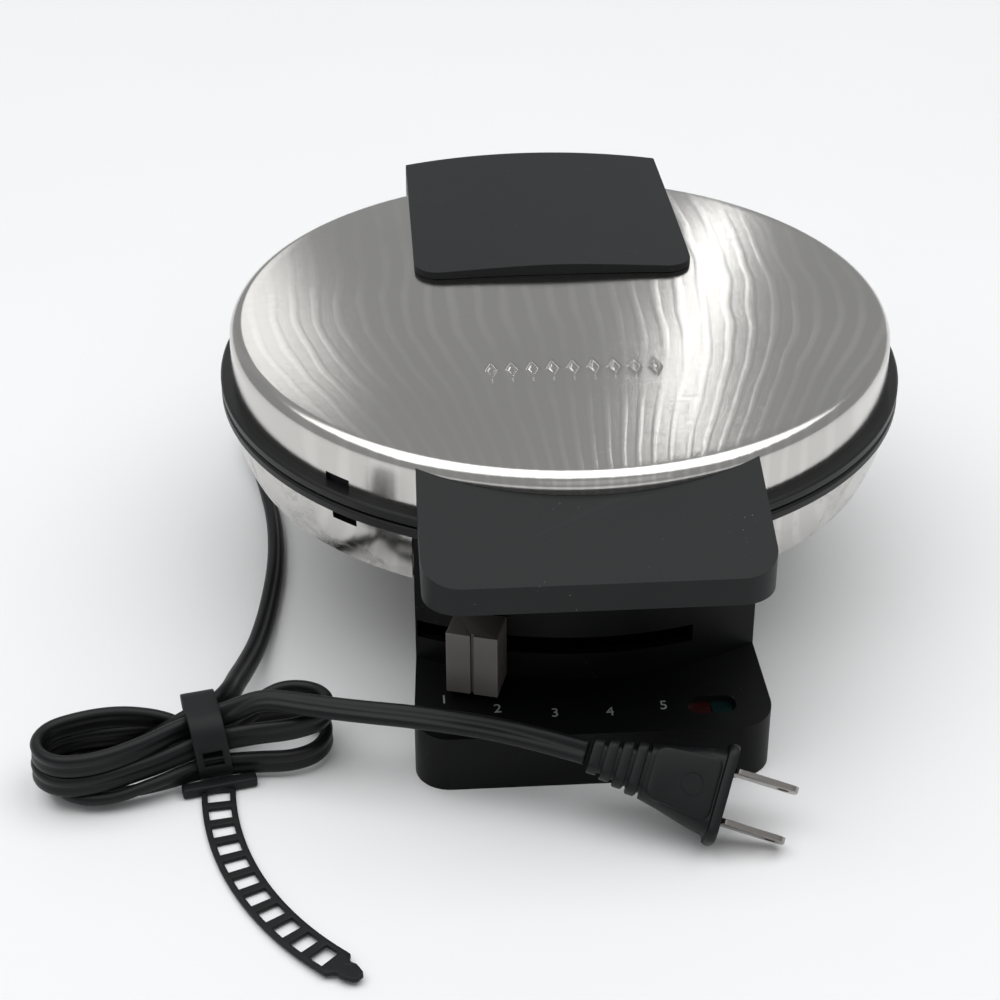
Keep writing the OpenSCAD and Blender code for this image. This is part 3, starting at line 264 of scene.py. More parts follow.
class Finish:
    """A procedural material with one main shader."""

    def __init__(self, name, **values):
        self.material = bpy.data.materials.new(name)
        self.material.use_nodes = True
        self.tree = self.material.node_tree
        self.tree.nodes.clear()
        self.place = 0
        self.shader = self.node("ShaderNodeBsdfPrincipled", {}, values)
        output = self.node("ShaderNodeOutputMaterial", {}, {})
        self.tree.links.new(self.shader.outputs[0], output.inputs[0])

    def node(self, kind, settings, sockets):
        """Adds a node: its settings first, then the values and links of its sockets."""
        node = self.tree.nodes.new(kind)
        node.location = (-220 * (self.place % 8), -260 * (self.place // 8))
        self.place += 1
        for key, value in settings.items():
            if key == "stops":
                ramp = node.color_ramp
                while len(ramp.elements) < len(value):
                    ramp.elements.new(1.0)
                for element, (at, tone) in zip(ramp.elements, value):
                    if not isinstance(tone, tuple):
                        tone = (tone, tone, tone)
                    element.position = at
                    element.color = (*tone, 1)
            else:
                setattr(node, key, value)
        for key, value in sockets.items():
            self.put(node, key, value)
        return node

    def put(self, node, key, value):
        """Sets a socket's value, or links it."""
        socket = node.inputs[key]
        if isinstance(value, Value):
            value = value.socket
        if isinstance(value, bpy.types.NodeSocket):
            self.tree.links.new(value, socket)
        elif socket.type == "RGBA" and len(value) == 3:
            socket.default_value = (*value, 1)
        else:
            socket.default_value = value

    def feed(self, **sockets):
        """Links or sets the main shader's sockets; underscores stand for spaces."""
        for key, value in sockets.items():
            self.put(self.shader, key.replace("_", " "), value)
        return self

    def where(self, scale=(1, 1, 1)):
        """Object coordinates in metres, scaled."""
        spot = self.node("ShaderNodeTexCoord", {}, {})
        return self.node("ShaderNodeMapping", {}, {
            "Vector": spot.outputs["Object"], "Scale": scale}).outputs[0]

    def noise(self, scale, detail=3.0, roughness=0.5, stretch=(1, 1, 1), distortion=0.0):
        node = self.node("ShaderNodeTexNoise", {}, {
            "Vector": self.where(stretch), "Scale": scale, "Detail": detail,
            "Roughness": roughness, "Distortion": distortion})
        return Value(self, node.outputs[0])

    def cells(self, scale):
        """Distance from the middle of the nearest of many scattered cells."""
        node = self.node("ShaderNodeTexVoronoi", {"feature": "F1"},
                         {"Vector": self.where(), "Scale": scale})
        return Value(self, node.outputs["Distance"])

    def axis(self, name):
        """One of the object coordinates x, y and z."""
        node = self.node("ShaderNodeSeparateXYZ", {}, {0: self.where()})
        return Value(self, node.outputs[name.upper()])

    def ramp(self, value, stops):
        return self.node("ShaderNodeValToRGB", {"stops": stops}, {0: value}).outputs[0]

    def level(self, value, stops):
        """A ramp's brightness as a number."""
        node = self.node("ShaderNodeSeparateColor", {}, {0: self.ramp(value, stops)})
        return Value(self, node.outputs[0])

    def mix(self, share, first, second):
        node = self.node("ShaderNodeMix", {"data_type": "RGBA", "blend_type": "MIX"},
                         {0: share, 6: first, 7: second})
        return node.outputs[2]

    def bump(self, height, strength, distance, normal=None):
        sockets = {"Height": height, "Strength": strength, "Distance": distance}
        if normal is not None:
            sockets["Normal"] = normal
        return self.node("ShaderNodeBump", {}, sockets).outputs[0]

    def edges(self, low=0.52, high=0.62):
        """How much a point lies on an outward edge."""
        spot = self.node("ShaderNodeNewGeometry", {}, {})
        return self.level(Value(self, spot.outputs["Pointiness"]), [(low, 0.0), (high, 1.0)])


def shade(base, factor):
    """A colour made lighter or darker."""
    return tuple(min(1.0, part * factor) for part in base)


# ---------------------------------------------------------------- finishes

def steel_finish(name, base, smudges):
    """Sheet steel brushed along X, with painted reflection streaks: wavy light lines across the
    brushing, painted into the colour, that draw together towards the front."""
    finish = Finish(name, Metallic=1.0)
    fine = finish.noise(110.0, 2.0, 0.6, (0.5, 60.0, 60.0))
    hair = finish.noise(30.0, 3.0, 0.6, (1.0, 70.0, 70.0))
    sway = finish.noise(16.0, 2.0, 0.5, (1.6, 1.0, 1.0))
    patch = finish.noise(11.0, 3.0, 0.5)
    draw_from = 0.012       # where along Y the painted reflection streaks begin to draw together
    draw = 70.0             # how strongly they do
    pitch = 980.0           # phase of the painted reflection streaks over a metre
    wander = 11.0           # phase that the sway adds
    ahead = (draw_from - finish.axis("y")).held()
    phase = finish.axis("x") * (1 + ahead * ahead * draw) * pitch + sway * wander
    # painted reflection: wavy light streaks, thinned out where the patches are dark
    reflection_streaks = finish.level(phase.maths("SINE", phase) * 0.5 + 0.5, [(0.55, 0.0), (0.97, 1.0)])
    reflection_streaks = reflection_streaks * finish.level(patch, [(0.40, 0.15), (0.60, 1.0)])
    tone = finish.mix(patch, shade(base, 0.90), shade(base, 1.06))
    # painted reflection: the streaks lighten the steel's colour
    tone = finish.mix(reflection_streaks * 0.42, tone, shade(base, 1.4))
    tone = finish.mix(hair * 0.35, tone, shade(base, 0.80))
    rough = 0.10 + 0.06 * hair + 0.03 * patch
    if smudges:
        marks = finish.noise(60.0, 5.0, 0.7, (1, 1, 1), 0.8)
        marks = finish.level(marks, [(0.50, 0.0), (0.60, 1.0)])
        tone = finish.mix(marks * 0.45, tone, shade(base, 0.62))
        rough = rough + 0.16 * marks
    normal = finish.bump(reflection_streaks + 1.6 * sway, 0.10, 0.0002)
    normal = finish.bump(fine, 0.28, 0.00004, normal)
    return finish.feed(Base_Color=tone, Roughness=rough, Normal=normal)


def moulded_finish(name, base, roughness, grain, depth, dust=0.0, edge=1.6, sheen=0.27):
    """Moulded plastic or rubber with a fine grain, uneven gloss and rubbed edges."""
    finish = Finish(name, IOR=1.48)
    finish.put(finish.shader, "Specular IOR Level", sheen)
    skin = finish.noise(grain, 3.0, 0.6)
    patch = finish.noise(24.0, 4.0, 0.6)
    tone = finish.mix(patch, shade(base, 0.88), shade(base, 1.14))
    tone = finish.mix(finish.edges() * 0.6, tone, shade(base, edge))
    if dust:
        specks = finish.cells(520.0)
        few = finish.noise(70.0, 2.0, 0.5)
        specks = (1 - specks * 9.0).held() * finish.level(few, [(0.58, 0.0), (0.66, 1.0)])
        tone = finish.mix(specks * dust, tone, (0.42, 0.42, 0.41))
    rough = roughness - 0.06 + 0.12 * patch + 0.05 * skin
    return finish.feed(Base_Color=tone, Roughness=rough,
                       Normal=finish.bump(skin, 0.35, depth))


def plain_steel_finish(name, base, roughness=0.34):
    """Rolled or turned steel."""
    finish = Finish(name, Metallic=1.0)
    grain = finish.noise(420.0, 3.0, 0.6)
    cloud = finish.noise(40.0, 4.0, 0.6)
    tone = finish.mix(cloud, shade(base, 0.82), shade(base, 1.08))
    return finish.feed(Base_Color=tone, Roughness=roughness - 0.05 + 0.14 * cloud,
                       Normal=finish.bump(grain, 0.15, 0.00005))


def knob_finish(base):
    """Satin metallic paint, rubbed lighter on its edges."""
    finish = Finish("knob_metal", Metallic=0.45)
    flakes = finish.noise(2600.0, 2.0, 0.5)
    cloud = finish.noise(180.0, 4.0, 0.7)
    tone = finish.mix(cloud, shade(base, 0.78), shade(base, 1.3))
    tone = finish.mix(finish.edges(0.51, 0.56) * 0.8, tone, (0.20, 0.185, 0.175))
    return finish.feed(Base_Color=tone, Roughness=0.36 + 0.14 * cloud,
                       Normal=finish.bump(flakes, 0.2, 0.00003))


def cast_finish(base):
    """Non-stick coating with fine specks over cast metal, worn a little on the teeth."""
    finish = Finish("coated_cast", IOR=1.42)
    skin = finish.noise(900.0, 3.0, 0.6)
    specks = finish.cells(1400.0)
    cloud = finish.noise(35.0, 4.0, 0.6)
    tone = finish.mix(cloud, shade(base, 0.8), shade(base, 1.25))
    tone = finish.mix((1 - specks * 4.5).held() * 0.35, tone, shade(base, 3.4))
    tone = finish.mix(finish.edges(0.52, 0.6) * 0.35, tone, shade(base, 3.0))
    return finish.feed(Base_Color=tone, Roughness=0.34 + 0.16 * cloud,
                       Normal=finish.bump(skin, 0.25, 0.00008))


def element_finish():
    """Sheathed heating tube, tinted by heat."""
    finish = Finish("element_steel", Metallic=0.9)
    cloud = finish.noise(60.0, 4.0, 0.6)
    tone = finish.ramp(cloud, [(0.3, (0.10, 0.095, 0.09)), (0.5, (0.16, 0.12, 0.085)),
                               (0.7, (0.12, 0.125, 0.15))])
    return finish.feed(Base_Color=tone, Roughness=0.42 + 0.2 * cloud,
                       Normal=finish.bump(finish.noise(700.0), 0.3, 0.00006))


def ceramic_finish():
    """Unglazed steatite."""
    finish = Finish("ceramic")
    pores = finish.noise(1300.0, 4.0, 0.7)
    cloud = finish.noise(70.0, 3.0, 0.5)
    tone = finish.mix(cloud, (0.62, 0.58, 0.47), (0.72, 0.69, 0.60))
    return finish.feed(Base_Color=tone, Roughness=0.6 + 0.2 * pores,
                       Normal=finish.bump(pores, 0.3, 0.00008))


def glass_finish(name, tint):
    """Tinted clear plastic with a faint swirl."""
    finish = Finish(name, IOR=1.5)
    finish.put(finish.shader, "Coat Weight", 1.0)
    swirl = finish.noise(260.0, 3.0, 0.5, (1, 1, 1), 1.2)
    tone = finish.mix(swirl, shade(tint, 0.6), shade(tint, 1.5))
    return finish.feed(Base_Color=tone, Roughness=0.10 + 0.10 * swirl,
                       Normal=finish.bump(swirl, 0.1, 0.0002))


def floor_finish():
    """Pale paper sweep."""
    finish = Finish("stage_paper")
    fibre = finish.noise(900.0, 3.0, 0.6)
    cloud = finish.noise(5.0, 3.0, 0.5)
    tone = finish.mix(cloud, (0.83, 0.832, 0.838), (0.87, 0.872, 0.876))
    return finish.feed(Base_Color=tone, Roughness=0.55 + 0.1 * fibre,
                       Normal=finish.bump(fibre, 0.05, 0.0002))


def make_finishes(colours):
    """Every finish by the name of the record's slot that it belongs to."""
    steel = tuple(colours.steel)
    lead = tuple(colours.lead)
    return {
        "brushed_steel": steel_finish("brushed_steel", steel, False),
        "skirt_steel": steel_finish("skirt_steel", shade(steel, 0.92), True),
        "plain_steel": plain_steel_finish("plain_steel", shade(steel, 0.8)),
        "charcoal_plastic": moulded_finish(
            "charcoal_plastic", tuple(colours.handle), roughness=0.50, grain=1500.0,
            depth=0.00006, dust=0.5, edge=1.5),
        "black_plastic": moulded_finish(
            "black_plastic", tuple(colours.housing), roughness=0.40, grain=1900.0,
            depth=0.00004, dust=0.35, edge=2.2, sheen=0.13),
        "ring_plastic": moulded_finish(
            "ring_plastic", tuple(colours.ring), roughness=0.38, grain=1400.0,
            depth=0.00004),
        "knob_metal": knob_finish(tuple(colours.knob)),
        "coated_cast": cast_finish(tuple(colours.cast)),
        "element_steel": element_finish(),
        "ceramic": ceramic_finish(),
        "wire_red": moulded_finish(
            "wire_red", (0.42, 0.035, 0.02), roughness=0.45, grain=1500.0, depth=0.00003),
        "black_rubber": moulded_finish(
            "black_rubber", shade(lead, 1.25), roughness=0.52, grain=1100.0,
            depth=0.00005, dust=0.25, edge=1.5),
        "cord_rubber": moulded_finish(
            "cord_rubber", lead, roughness=0.40, grain=1000.0, depth=0.00004, dust=0.2,
            edge=1.6),
        "blade_metal": plain_steel_finish("blade_metal", (0.34, 0.32, 0.30), 0.22),
        "red_glass": glass_finish("red_glass", (0.022, 0.003, 0.003)),
        "green_glass": glass_finish("green_glass", (0.002, 0.011, 0.011)),
        "lamp_glass": glass_finish("lamp_glass", (0.5, 0.42, 0.36)),
        "dial_print": moulded_finish(
            "dial_print", tuple(colours.mark), roughness=0.55, grain=1500.0,
            depth=0.00003),
        "stage_paper": floor_finish(),
    }


FINISHES = {}


def paint(obj, name):
    """Gives an object one finish. The finishes are made when the first is asked for."""
    if not FINISHES:
        FINISHES.update(make_finishes(bpy.context.scene.waffle_colours))
    obj.data.materials.clear()
    obj.data.materials.append(FINISHES[name].material)
    return obj


# ---------------------------------------------------------------- mesh tools

def new_object(name, vertices, faces, smooth=True):
    """A mesh object from points in metres and faces."""
    mesh = bpy.data.meshes.new(name)
    mesh.from_pydata([tuple(map(float, v)) for v in vertices], [], faces)
    mesh.validate()
    obj = bpy.data.objects.new(name, mesh)
    bpy.context.scene.collection.objects.link(obj)
    if smooth:
        mesh.polygons.foreach_set("use_smooth", [True] * len(mesh.polygons))
    return obj


def modify(obj, kind, **settings):
    """Adds a modifier to an object."""
    modifier = obj.modifiers.new(kind.title(), kind)
    for key, value in settings.items():
        setattr(modifier, key, value)
    return obj


def settle(obj):
    """Puts an object's modifiers into its mesh."""
    bpy.context.view_layer.update()
    shown = obj.evaluated_get(bpy.context.evaluated_depsgraph_get())
    mesh = bpy.data.meshes.new_from_object(shown)
    mesh.name = obj.name
    obj.modifiers.clear()
    obj.data = mesh
    return obj


def cut(obj, *tools, operation="DIFFERENCE"):
    """Takes the tools out of an object, or joins them to it, and deletes them."""
    for tool in tools:
        modify(obj, "BOOLEAN", object=tool, operation=operation, solver="EXACT")
        settle(obj)
        bpy.data.objects.remove(tool)
    return obj


@contextmanager
def edited(obj):
    """An object's mesh, open for editing and written back afterwards."""
    mesh = bmesh.new()
    mesh.from_mesh(obj.data)
    yield mesh
    mesh.to_mesh(obj.data)
    mesh.free()


def sharpen(obj, angle):
    """Smooth faces with edges sharper than the angle, in degrees, left crisp."""
    with edited(obj) as mesh:
        for face in mesh.faces:
            face.smooth = True
        for edge in mesh.edges:
            edge.smooth = edge.is_manifold and edge.calc_face_angle(0.0) < math.radians(angle)
    return obj


def finish_piece(obj, finish, body, *nodes, slot=None):
    """A piece's finish, body and the CAD nodes that it stands for. slot is not used."""
    paint(obj, finish)
    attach(obj, body)
    if nodes:
        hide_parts(*nodes)
    return obj


def turned(name, profile, turns=TURNS):
    """A piece turned about Z from a closed outline of (radius, height) points."""
    angles = [2 * math.pi * k / turns for k in range(turns)]
    vertices = []
    rows = []
    for r, z in profile:
        if r < 1e-7:
            rows.append([len(vertices)] * turns)
            vertices.append((0, 0, z))
        else:
            rows.append(list(range(len(vertices), len(vertices) + turns)))
            vertices += [(r * math.cos(a), r * math.sin(a), z) for a in angles]
    faces = []
    for k, row in enumerate(rows):
        after = rows[(k + 1) % len(rows)]
        if row[0] == row[1] and after[0] == after[1]:
            continue
        for i in range(turns):
            j = (i + 1) % turns
            corners = [row[i], row[j], after[j], after[i]]
            faces.append(list(dict.fromkeys(corners)))
    return new_object(name, vertices, faces)


def lofted(name, vertices, n):
    """A closed solid through rings of n points each."""
    faces = [(n * k + i, n * k + (i + 1) % n, n * (k + 1) + (i + 1) % n, n * (k + 1) + i)
             for k in range(len(vertices) // n - 1) for i in range(n)]
    faces += [tuple(reversed(range(n))), tuple(range(len(vertices) - n, len(vertices)))]
    return new_object(name, vertices, faces)


def block(name, low, high, turn=0.0):
    """A box between two corners, turned about Z."""
    corners = [(x, y, z) for x in (low[0], high[0]) for y in (low[1], high[1])
               for z in (low[2], high[2])]
    faces = [(0, 1, 3, 2), (4, 6, 7, 5), (0, 4, 5, 1), (2, 3, 7, 6), (0, 2, 6, 4),
             (1, 5, 7, 3)]
    obj = new_object(name, corners, faces, False)
    obj.data.transform(Matrix.Rotation(turn, 4, "Z"))
    return obj


def softened(name, node, width, angle=35.0, segments=3):
    """A copy of a CAD node's mesh with its edges rounded."""
    obj = bpy.data.objects.new(name, frame["nodes"][node].data.copy())
    bpy.context.scene.collection.objects.link(obj)
    with edited(obj) as mesh:
        bmesh.ops.remove_doubles(mesh, verts=mesh.verts, dist=2e-6)
        bmesh.ops.dissolve_limit(mesh, angle_limit=math.radians(0.6), verts=mesh.verts,
                                 edges=mesh.edges)
    if "custom_normal" in obj.data.attributes:
        obj.data.attributes.remove(obj.data.attributes["custom_normal"])
    obj.data.materials.clear()
    modify(obj, "BEVEL", width=width, segments=segments, limit_method="ANGLE",
           angle_limit=math.radians(angle), use_clamp_overlap=True,
           miter_outer="MITER_ARC")
    settle(obj)
    sharpen(obj, 40.0)
    modify(obj, "WEIGHTED_NORMAL", keep_sharp=True, weight=80)
    return settle(obj)


def arc(x, y, r, start, end, n):
    """Points of an arc, with angles in degrees."""
    return [(x + r * math.cos(math.radians(start + (end - start) * k / n)),
             y + r * math.sin(math.radians(start + (end - start) * k / n)))
            for k in range(n + 1)]


def crown_z(r):
    """Height of the lid's crown at a radius."""
    return EDGE_Z + CROWN_H * (1 - (r / (COVER_R - SHOULDER)) ** 2)


def cover_outline(inset):
    """The lid cover's outer surface from its rim to its middle, offset inwards."""
    r = SHOULDER - inset
    wall = [(COVER_R - inset, COVER_LOW)]
    wall += [(COVER_R - inset, COVER_LOW + (EDGE_Z - SHOULDER - COVER_LOW) * k / 6)
             for k in range(1, 6)]
    corner = arc(COVER_R - SHOULDER, EDGE_Z - SHOULDER, r, 0, 85.4, 12)
    crown = [(r0, crown_z(r0) - inset) for r0 in
             ((COVER_R - SHOULDER) * (1 - k / 40) for k in range(1, 41))]
    return wall + corner + crown


# ---------------------------------------------------------------- lead tools

def smooth_route(points, step):
    """A smooth line through points of any dimension, resampled at about the step."""
    p = np.array(points, float)
    gaps = np.linalg.norm(np.diff(p[:, :3], axis=0), axis=1)
    t = np.concatenate([[0], np.cumsum(gaps)])
    slope = np.gradient(p, t, axis=0)
    rows = []
    for k in range(len(p) - 1):
        n = max(2, int(math.ceil(gaps[k] / step)))
        for u in np.arange(n) / n:
            h = t[k + 1] - t[k]
            rows.append((2 * u**3 - 3 * u**2 + 1) * p[k] + (u**3 - 2 * u**2 + u) * h * slope[k]
                        + (3 * u**2 - 2 * u**3) * p[k + 1] + (u**3 - u**2) * h * slope[k + 1])
    rows.append(p[-1])
    return np.array(rows)


def lead_section(width, depth):
    """Outline of the flat two-core section, with a shallow groove each side."""
    r = depth / 2
    c = width / 2 - r
    right = arc(c, 0, r, -78, 78, 10)
    top = [(c * 0.42, r * 0.90), (0.0, r * 0.66), (-c * 0.42, r * 0.90)]
    left = [(-x, -y) for x, y in right]
    bottom = [(-x, -y) for x, y in top]
    return right + top + left + bottom


def swept(name, route, outline):
    """A tube of an outline along a route whose fourth value turns it, in degrees."""
    p = route[:, :3]
    heading = np.gradient(p, axis=0)
    heading /= np.linalg.norm(heading, axis=1)[:, None]
    vertices = []
    for k, h in enumerate(heading):
        side = np.cross(h, (0, 0, 1))
        side /= np.linalg.norm(side)
        up = np.cross(side, h)
        c = math.cos(math.radians(route[k][3]))
        s = math.sin(math.radians(route[k][3]))
        vertices += [p[k] + side * (u * c - v * s) + up * (u * s + v * c) for u, v in outline]
    obj = lofted(name, vertices, len(outline))
    with edited(obj) as mesh:
        bmesh.ops.recalc_face_normals(mesh, faces=mesh.faces)
    return obj


def in_hank(u, v, z, turn=90):
    """A route point from the hank's own axes: along it, across it, height; in mm."""
    c = math.cos(HANK_TURN)
    s = math.sin(HANK_TURN)
    return (TIE_AT[0] + (c * u - s * v) / 1000, TIE_AT[1] + (s * u + c * v) / 1000, z / 1000,
            turn)


def fold(u, v, r, heights, side, first, turns=(90, 90)):
    """Half a turn of the lead at one end of the hank. side is -1 at the left end, and
    first is +1 if it starts at the back."""
    points = []
    for k in range(7):
        t = math.pi * k / 6
        share = (1 - math.cos(t)) / 2
        points.append(in_hank(u + side * r * math.sin(t), v + first * r * math.cos(t),
                              heights[0] + (heights[1] - heights[0]) * share,
                              turns[0] + (turns[1] - turns[0]) * share))
    return points


def hank_route():
    """The folds of the lead between its tail and its free end."""
    return (
        [in_hank(2.6, 5.4, 14.0, 75), in_hank(-3, 4.0, 13.0), in_hank(-10, 3.8, 9.2, 70),
         in_hank(-17.5, 5.4, 5.0, 35)]
        + fold(-28.2, -0.3, FOLD_R, (2.9, 3.4), -1, 1, (4, 20))
        + [in_hank(-17, -9.9, 4.2, 50), in_hank(0, -6.9, 4.6), in_hank(10, -8.4, 4.6)]
        + fold(20.4, -0.8, FOLD_R, (4.8, 5.4), 1, -1)
        + [in_hank(9, 7.8, 6.6), in_hank(0, 6.9, 7.0), in_hank(-18, 8.4, 7.4)]
        + fold(-34.0, 0.0, FOLD_R, (7.2, 8.2), -1, 1)
        + [in_hank(-18, -8.2, 8.8), in_hank(0, -5.4, 11.0), in_hank(10, -7.2, 12.6)]
        + fold(21.2, 0.4, FOLD_R, (13.8, 11.2), 1, -1)
        + [in_hank(9, 6.2, 7.8), in_hank(0, 3.3, 5.2), in_hank(-10, 7.2, 10.0),
           in_hank(-20, 9.3, 12.4)]
        + fold(-33.6, 0.0, FOLD_R, (12.6, 14.2), -1, 1)
        + [in_hank(-18, -6.8, 14.2), in_hank(-8, -2.6, 14.2), in_hank(-1, -0.9, 14.4, 100),
           in_hank(5, -1.3, 16.0, 130)])


def strap(name, rows, thickness):
    """A flat strap. Each row is its middle, across direction, outward direction, half
    width, half width of its window and whether the window is open up to the next row."""
    vertices = []
    for middle, across, _, half, inner, _ in rows:
        vertices += [Vector(middle) + Vector(across) * w for w in (-half, -inner, inner, half)]
    faces = []
    for k in range(len(rows) - 1):
        for i in range(3):
            if i == 1 and rows[k][5]:
                continue
            a = 4 * k + i
            faces.append((a, a + 1, a + 5, a + 4))
    obj = new_object(name, vertices, faces)
    with edited(obj) as mesh:
        bmesh.ops.recalc_face_normals(mesh, faces=mesh.faces)
        mesh.faces.ensure_lookup_table()
        if mesh.faces[0].normal.dot(Vector(rows[0][2])) < 0:
            bmesh.ops.reverse_faces(mesh, faces=mesh.faces)
    modify(obj, "SOLIDIFY", thickness=thickness, offset=1.0, use_even_offset=True)
    settle(obj)
    modify(obj, "BEVEL", width=0.00028, segments=2, limit_method="ANGLE",
           angle_limit=math.radians(40), use_clamp_overlap=True)
    return sharpen(settle(obj), 50.0)


# ---------------------------------------------------------------- operators

class Making:
    """What the pieces' operators share."""

    bl_options = {"REGISTER", "UNDO"}

    def execute(self, context):
        self.make(context.scene.waffle_sizes)
        return {"FINISHED"}


class WAFFLE_OT_stage(Making, bpy.types.Operator):
    """Makes the camera, the pale floor and the soft lights"""

    bl_idname = "waffle.stage"
    bl_label = "Stage"

    def make(self, sizes):
        self.camera()
        corners = ((-1, -1), (1, -1), (1, 1), (-1, 1))
        floor = new_object("stage_floor",
                           [(x * FLOOR_REACH, y * FLOOR_REACH, 0) for x, y in corners],
                           [(0, 1, 2, 3)])
        paint(floor, "stage_paper")
        for light in LIGHTS:
            self.light(*light)
        world = bpy.data.worlds.new("studio")
        world.use_nodes = True
        sky = world.node_tree.nodes["Background"]
        sky.inputs["Color"].default_value = SKY
        sky.inputs["Strength"].default_value = 1.0
        bpy.context.scene.world = world

    def camera(self):
        camera = bpy.data.objects.new("camera", bpy.data.cameras.new("camera"))
        bpy.context.scene.collection.objects.link(camera)
        turn = Matrix(CAMERA_AXES).transposed().to_4x4()
        camera.matrix_world = Matrix.Translation(CAMERA_AT) @ turn
        camera.data.sensor_width = SENSOR
        camera.data.lens = LENS
        camera.data.clip_start = NEAR
        bpy.context.scene.camera = camera
        bpy.context.scene.view_settings.view_transform = "Standard"

    def light(self, name, place, target, size, power):
        data = bpy.data.lights.new(name, "AREA")
        data.shape = "RECTANGLE"
        data.size = size[0]
        data.size_y = size[1]
        data.energy = power
        lamp = bpy.data.objects.new(name, data)
        bpy.context.scene.collection.objects.link(lamp)
        lamp.location = place
        lamp.rotation_euler = (Vector(target) - Vector(place)).to_track_quat(
            "-Z", "Y").to_euler()


PLUG_AT = Matrix.Translation(PLUG_PLACE) @ (
    Matrix.Rotation(math.radians(PLUG_HEADING), 4, "Z")
    @ Matrix.Rotation(math.radians(PLUG_DIP), 4, "Y")
    @ Matrix.Rotation(math.radians(PLUG_ROLL), 4, "X"))


class WAFFLE_OT_plug(Making, bpy.types.Operator):
    """Makes the plug, its ribbed strain relief and its blades"""

    bl_idname = "waffle.plug"
    bl_label = "Plug"

    def make(self, sizes):
        self.body()
        self.relief()
        self.blades()

    def layered(self, name, stations, axis):
        """A solid lofted through stations of (place, outline) along an axis."""
        vertices = []
        for at, outline in stations:
            for u, v in outline:
                vertices.append((at, u, v) if axis == "X" else (u, v, at))
        return lofted(name, vertices, len(stations[0][1]))

    def rounded(self, w, d, r):
        """A rectangle with round corners, w wide and d deep."""
        n = 6
        r = min(r, w / 2 - 1e-5, d / 2 - 1e-5)
        return (arc(w / 2 - r, -d / 2 + r, r, -90, 0, n) + arc(w / 2 - r, d / 2 - r, r, 0, 90, n)
                + arc(-w / 2 + r, d / 2 - r, r, 90, 180, n)
                + arc(-w / 2 + r, -d / 2 + r, r, 180, 270, n))

    def body(self):
        stations = [(at, self.rounded(w, d, r)) for at, w, d, r in PLUG_STATIONS]
        obj = self.layered("plug_shell", stations, "X")
        panel_at = -0.0088
        widening = 14           # share of its width that the panel gains over a metre
        plan = self.rounded(0.0164, 0.0146, 0.0026)
        panel = self.layered("plug_panel", [
            (z, [(x * k + panel_at, y * k * (1 + widening * x)) for x, y in plan])
            for z, k in ((0.0030, 1.0), (0.0046, 1.0), (0.0048, 0.97), (0.0049, 0.93))], "Z")
        cut(obj, panel, operation="UNION")
        ring_in, ring_out = 0.0026, 0.0029
        ring_low, ring_top = 0.0044, 0.0051
        mark = turned("plug_mark", [(ring_in, ring_low), (ring_in, ring_top),
                                    (ring_out, ring_top), (ring_out, ring_low)], 48)
        mark.data.transform(Matrix.Translation((-0.0066, 0, 0)))
        cut(obj, mark, operation="UNION")
        sharpen(obj, 40.0)
        obj.data.transform(PLUG_AT)
        finish_piece(obj, "cord_rubber", "root", "plug_body")

    def relief(self):
        stations = []
        for k in range(RIBS):
            at = RIB_FIRST + RIB_STEP * k
            w = 0.0092 + 0.0013 * k
            d = 0.0060 + 0.0007 * k
            rim = self.rounded(w * 0.95, d * 0.94, 0.0022)
            full = self.rounded(w, d, 0.0024)
            slim = self.rounded(w * 0.84, d * 0.84, 0.0022)
            stations += [(at, rim), (at + 0.0003, full), (at + 0.0022, full),
                         (at + 0.0025, rim), (at + 0.00255, slim), (at + 0.00348, slim)]
        stations += [(-0.0170, self.rounded(0.0120, 0.0074, 0.0026))]
        obj = self.layered("strain_relief", stations, "X")
        sharpen(obj, 45.0)
        obj.data.transform(PLUG_AT)
        finish_piece(obj, "cord_rubber", "root", "plug_relief")

    def blades(self):
        parts = []
        for side in (-1, 1):
            plan = self.rounded(BLADE_L, BLADE_W, 0.0022)
            stations = [(z, [(BLADE_MIDDLE + x, y * k) for x, y in plan])
                        for z, k in ((-0.00075, 0.9), (-0.0006, 1.0), (0.0006, 1.0),
                                     (0.00075, 0.9))]
            part = self.layered("blade", stations, "Z")
            hole = turned("blade_hole", [(0.0, -0.002), (HOLE_R, -0.002), (HOLE_R, 0.002),
                                         (0.0, 0.002)], 32)
            hole.data.transform(Matrix.Translation((HOLE_AT, 0, 0)))
            cut(part, hole)
            part.data.transform(Matrix.Translation((0, side * BLADE_HALF_PITCH, 0))
                                @ Matrix.Rotation(math.radians(90), 4, "X"))
            parts.append(part)
        obj = cut(parts[0], parts[1], operation="UNION")
        obj.name = "plug_pins"
        sharpen(obj, 35.0)
        obj.data.transform(PLUG_AT)
        finish_piece(obj, "blade_metal", "root", "plug_blades")


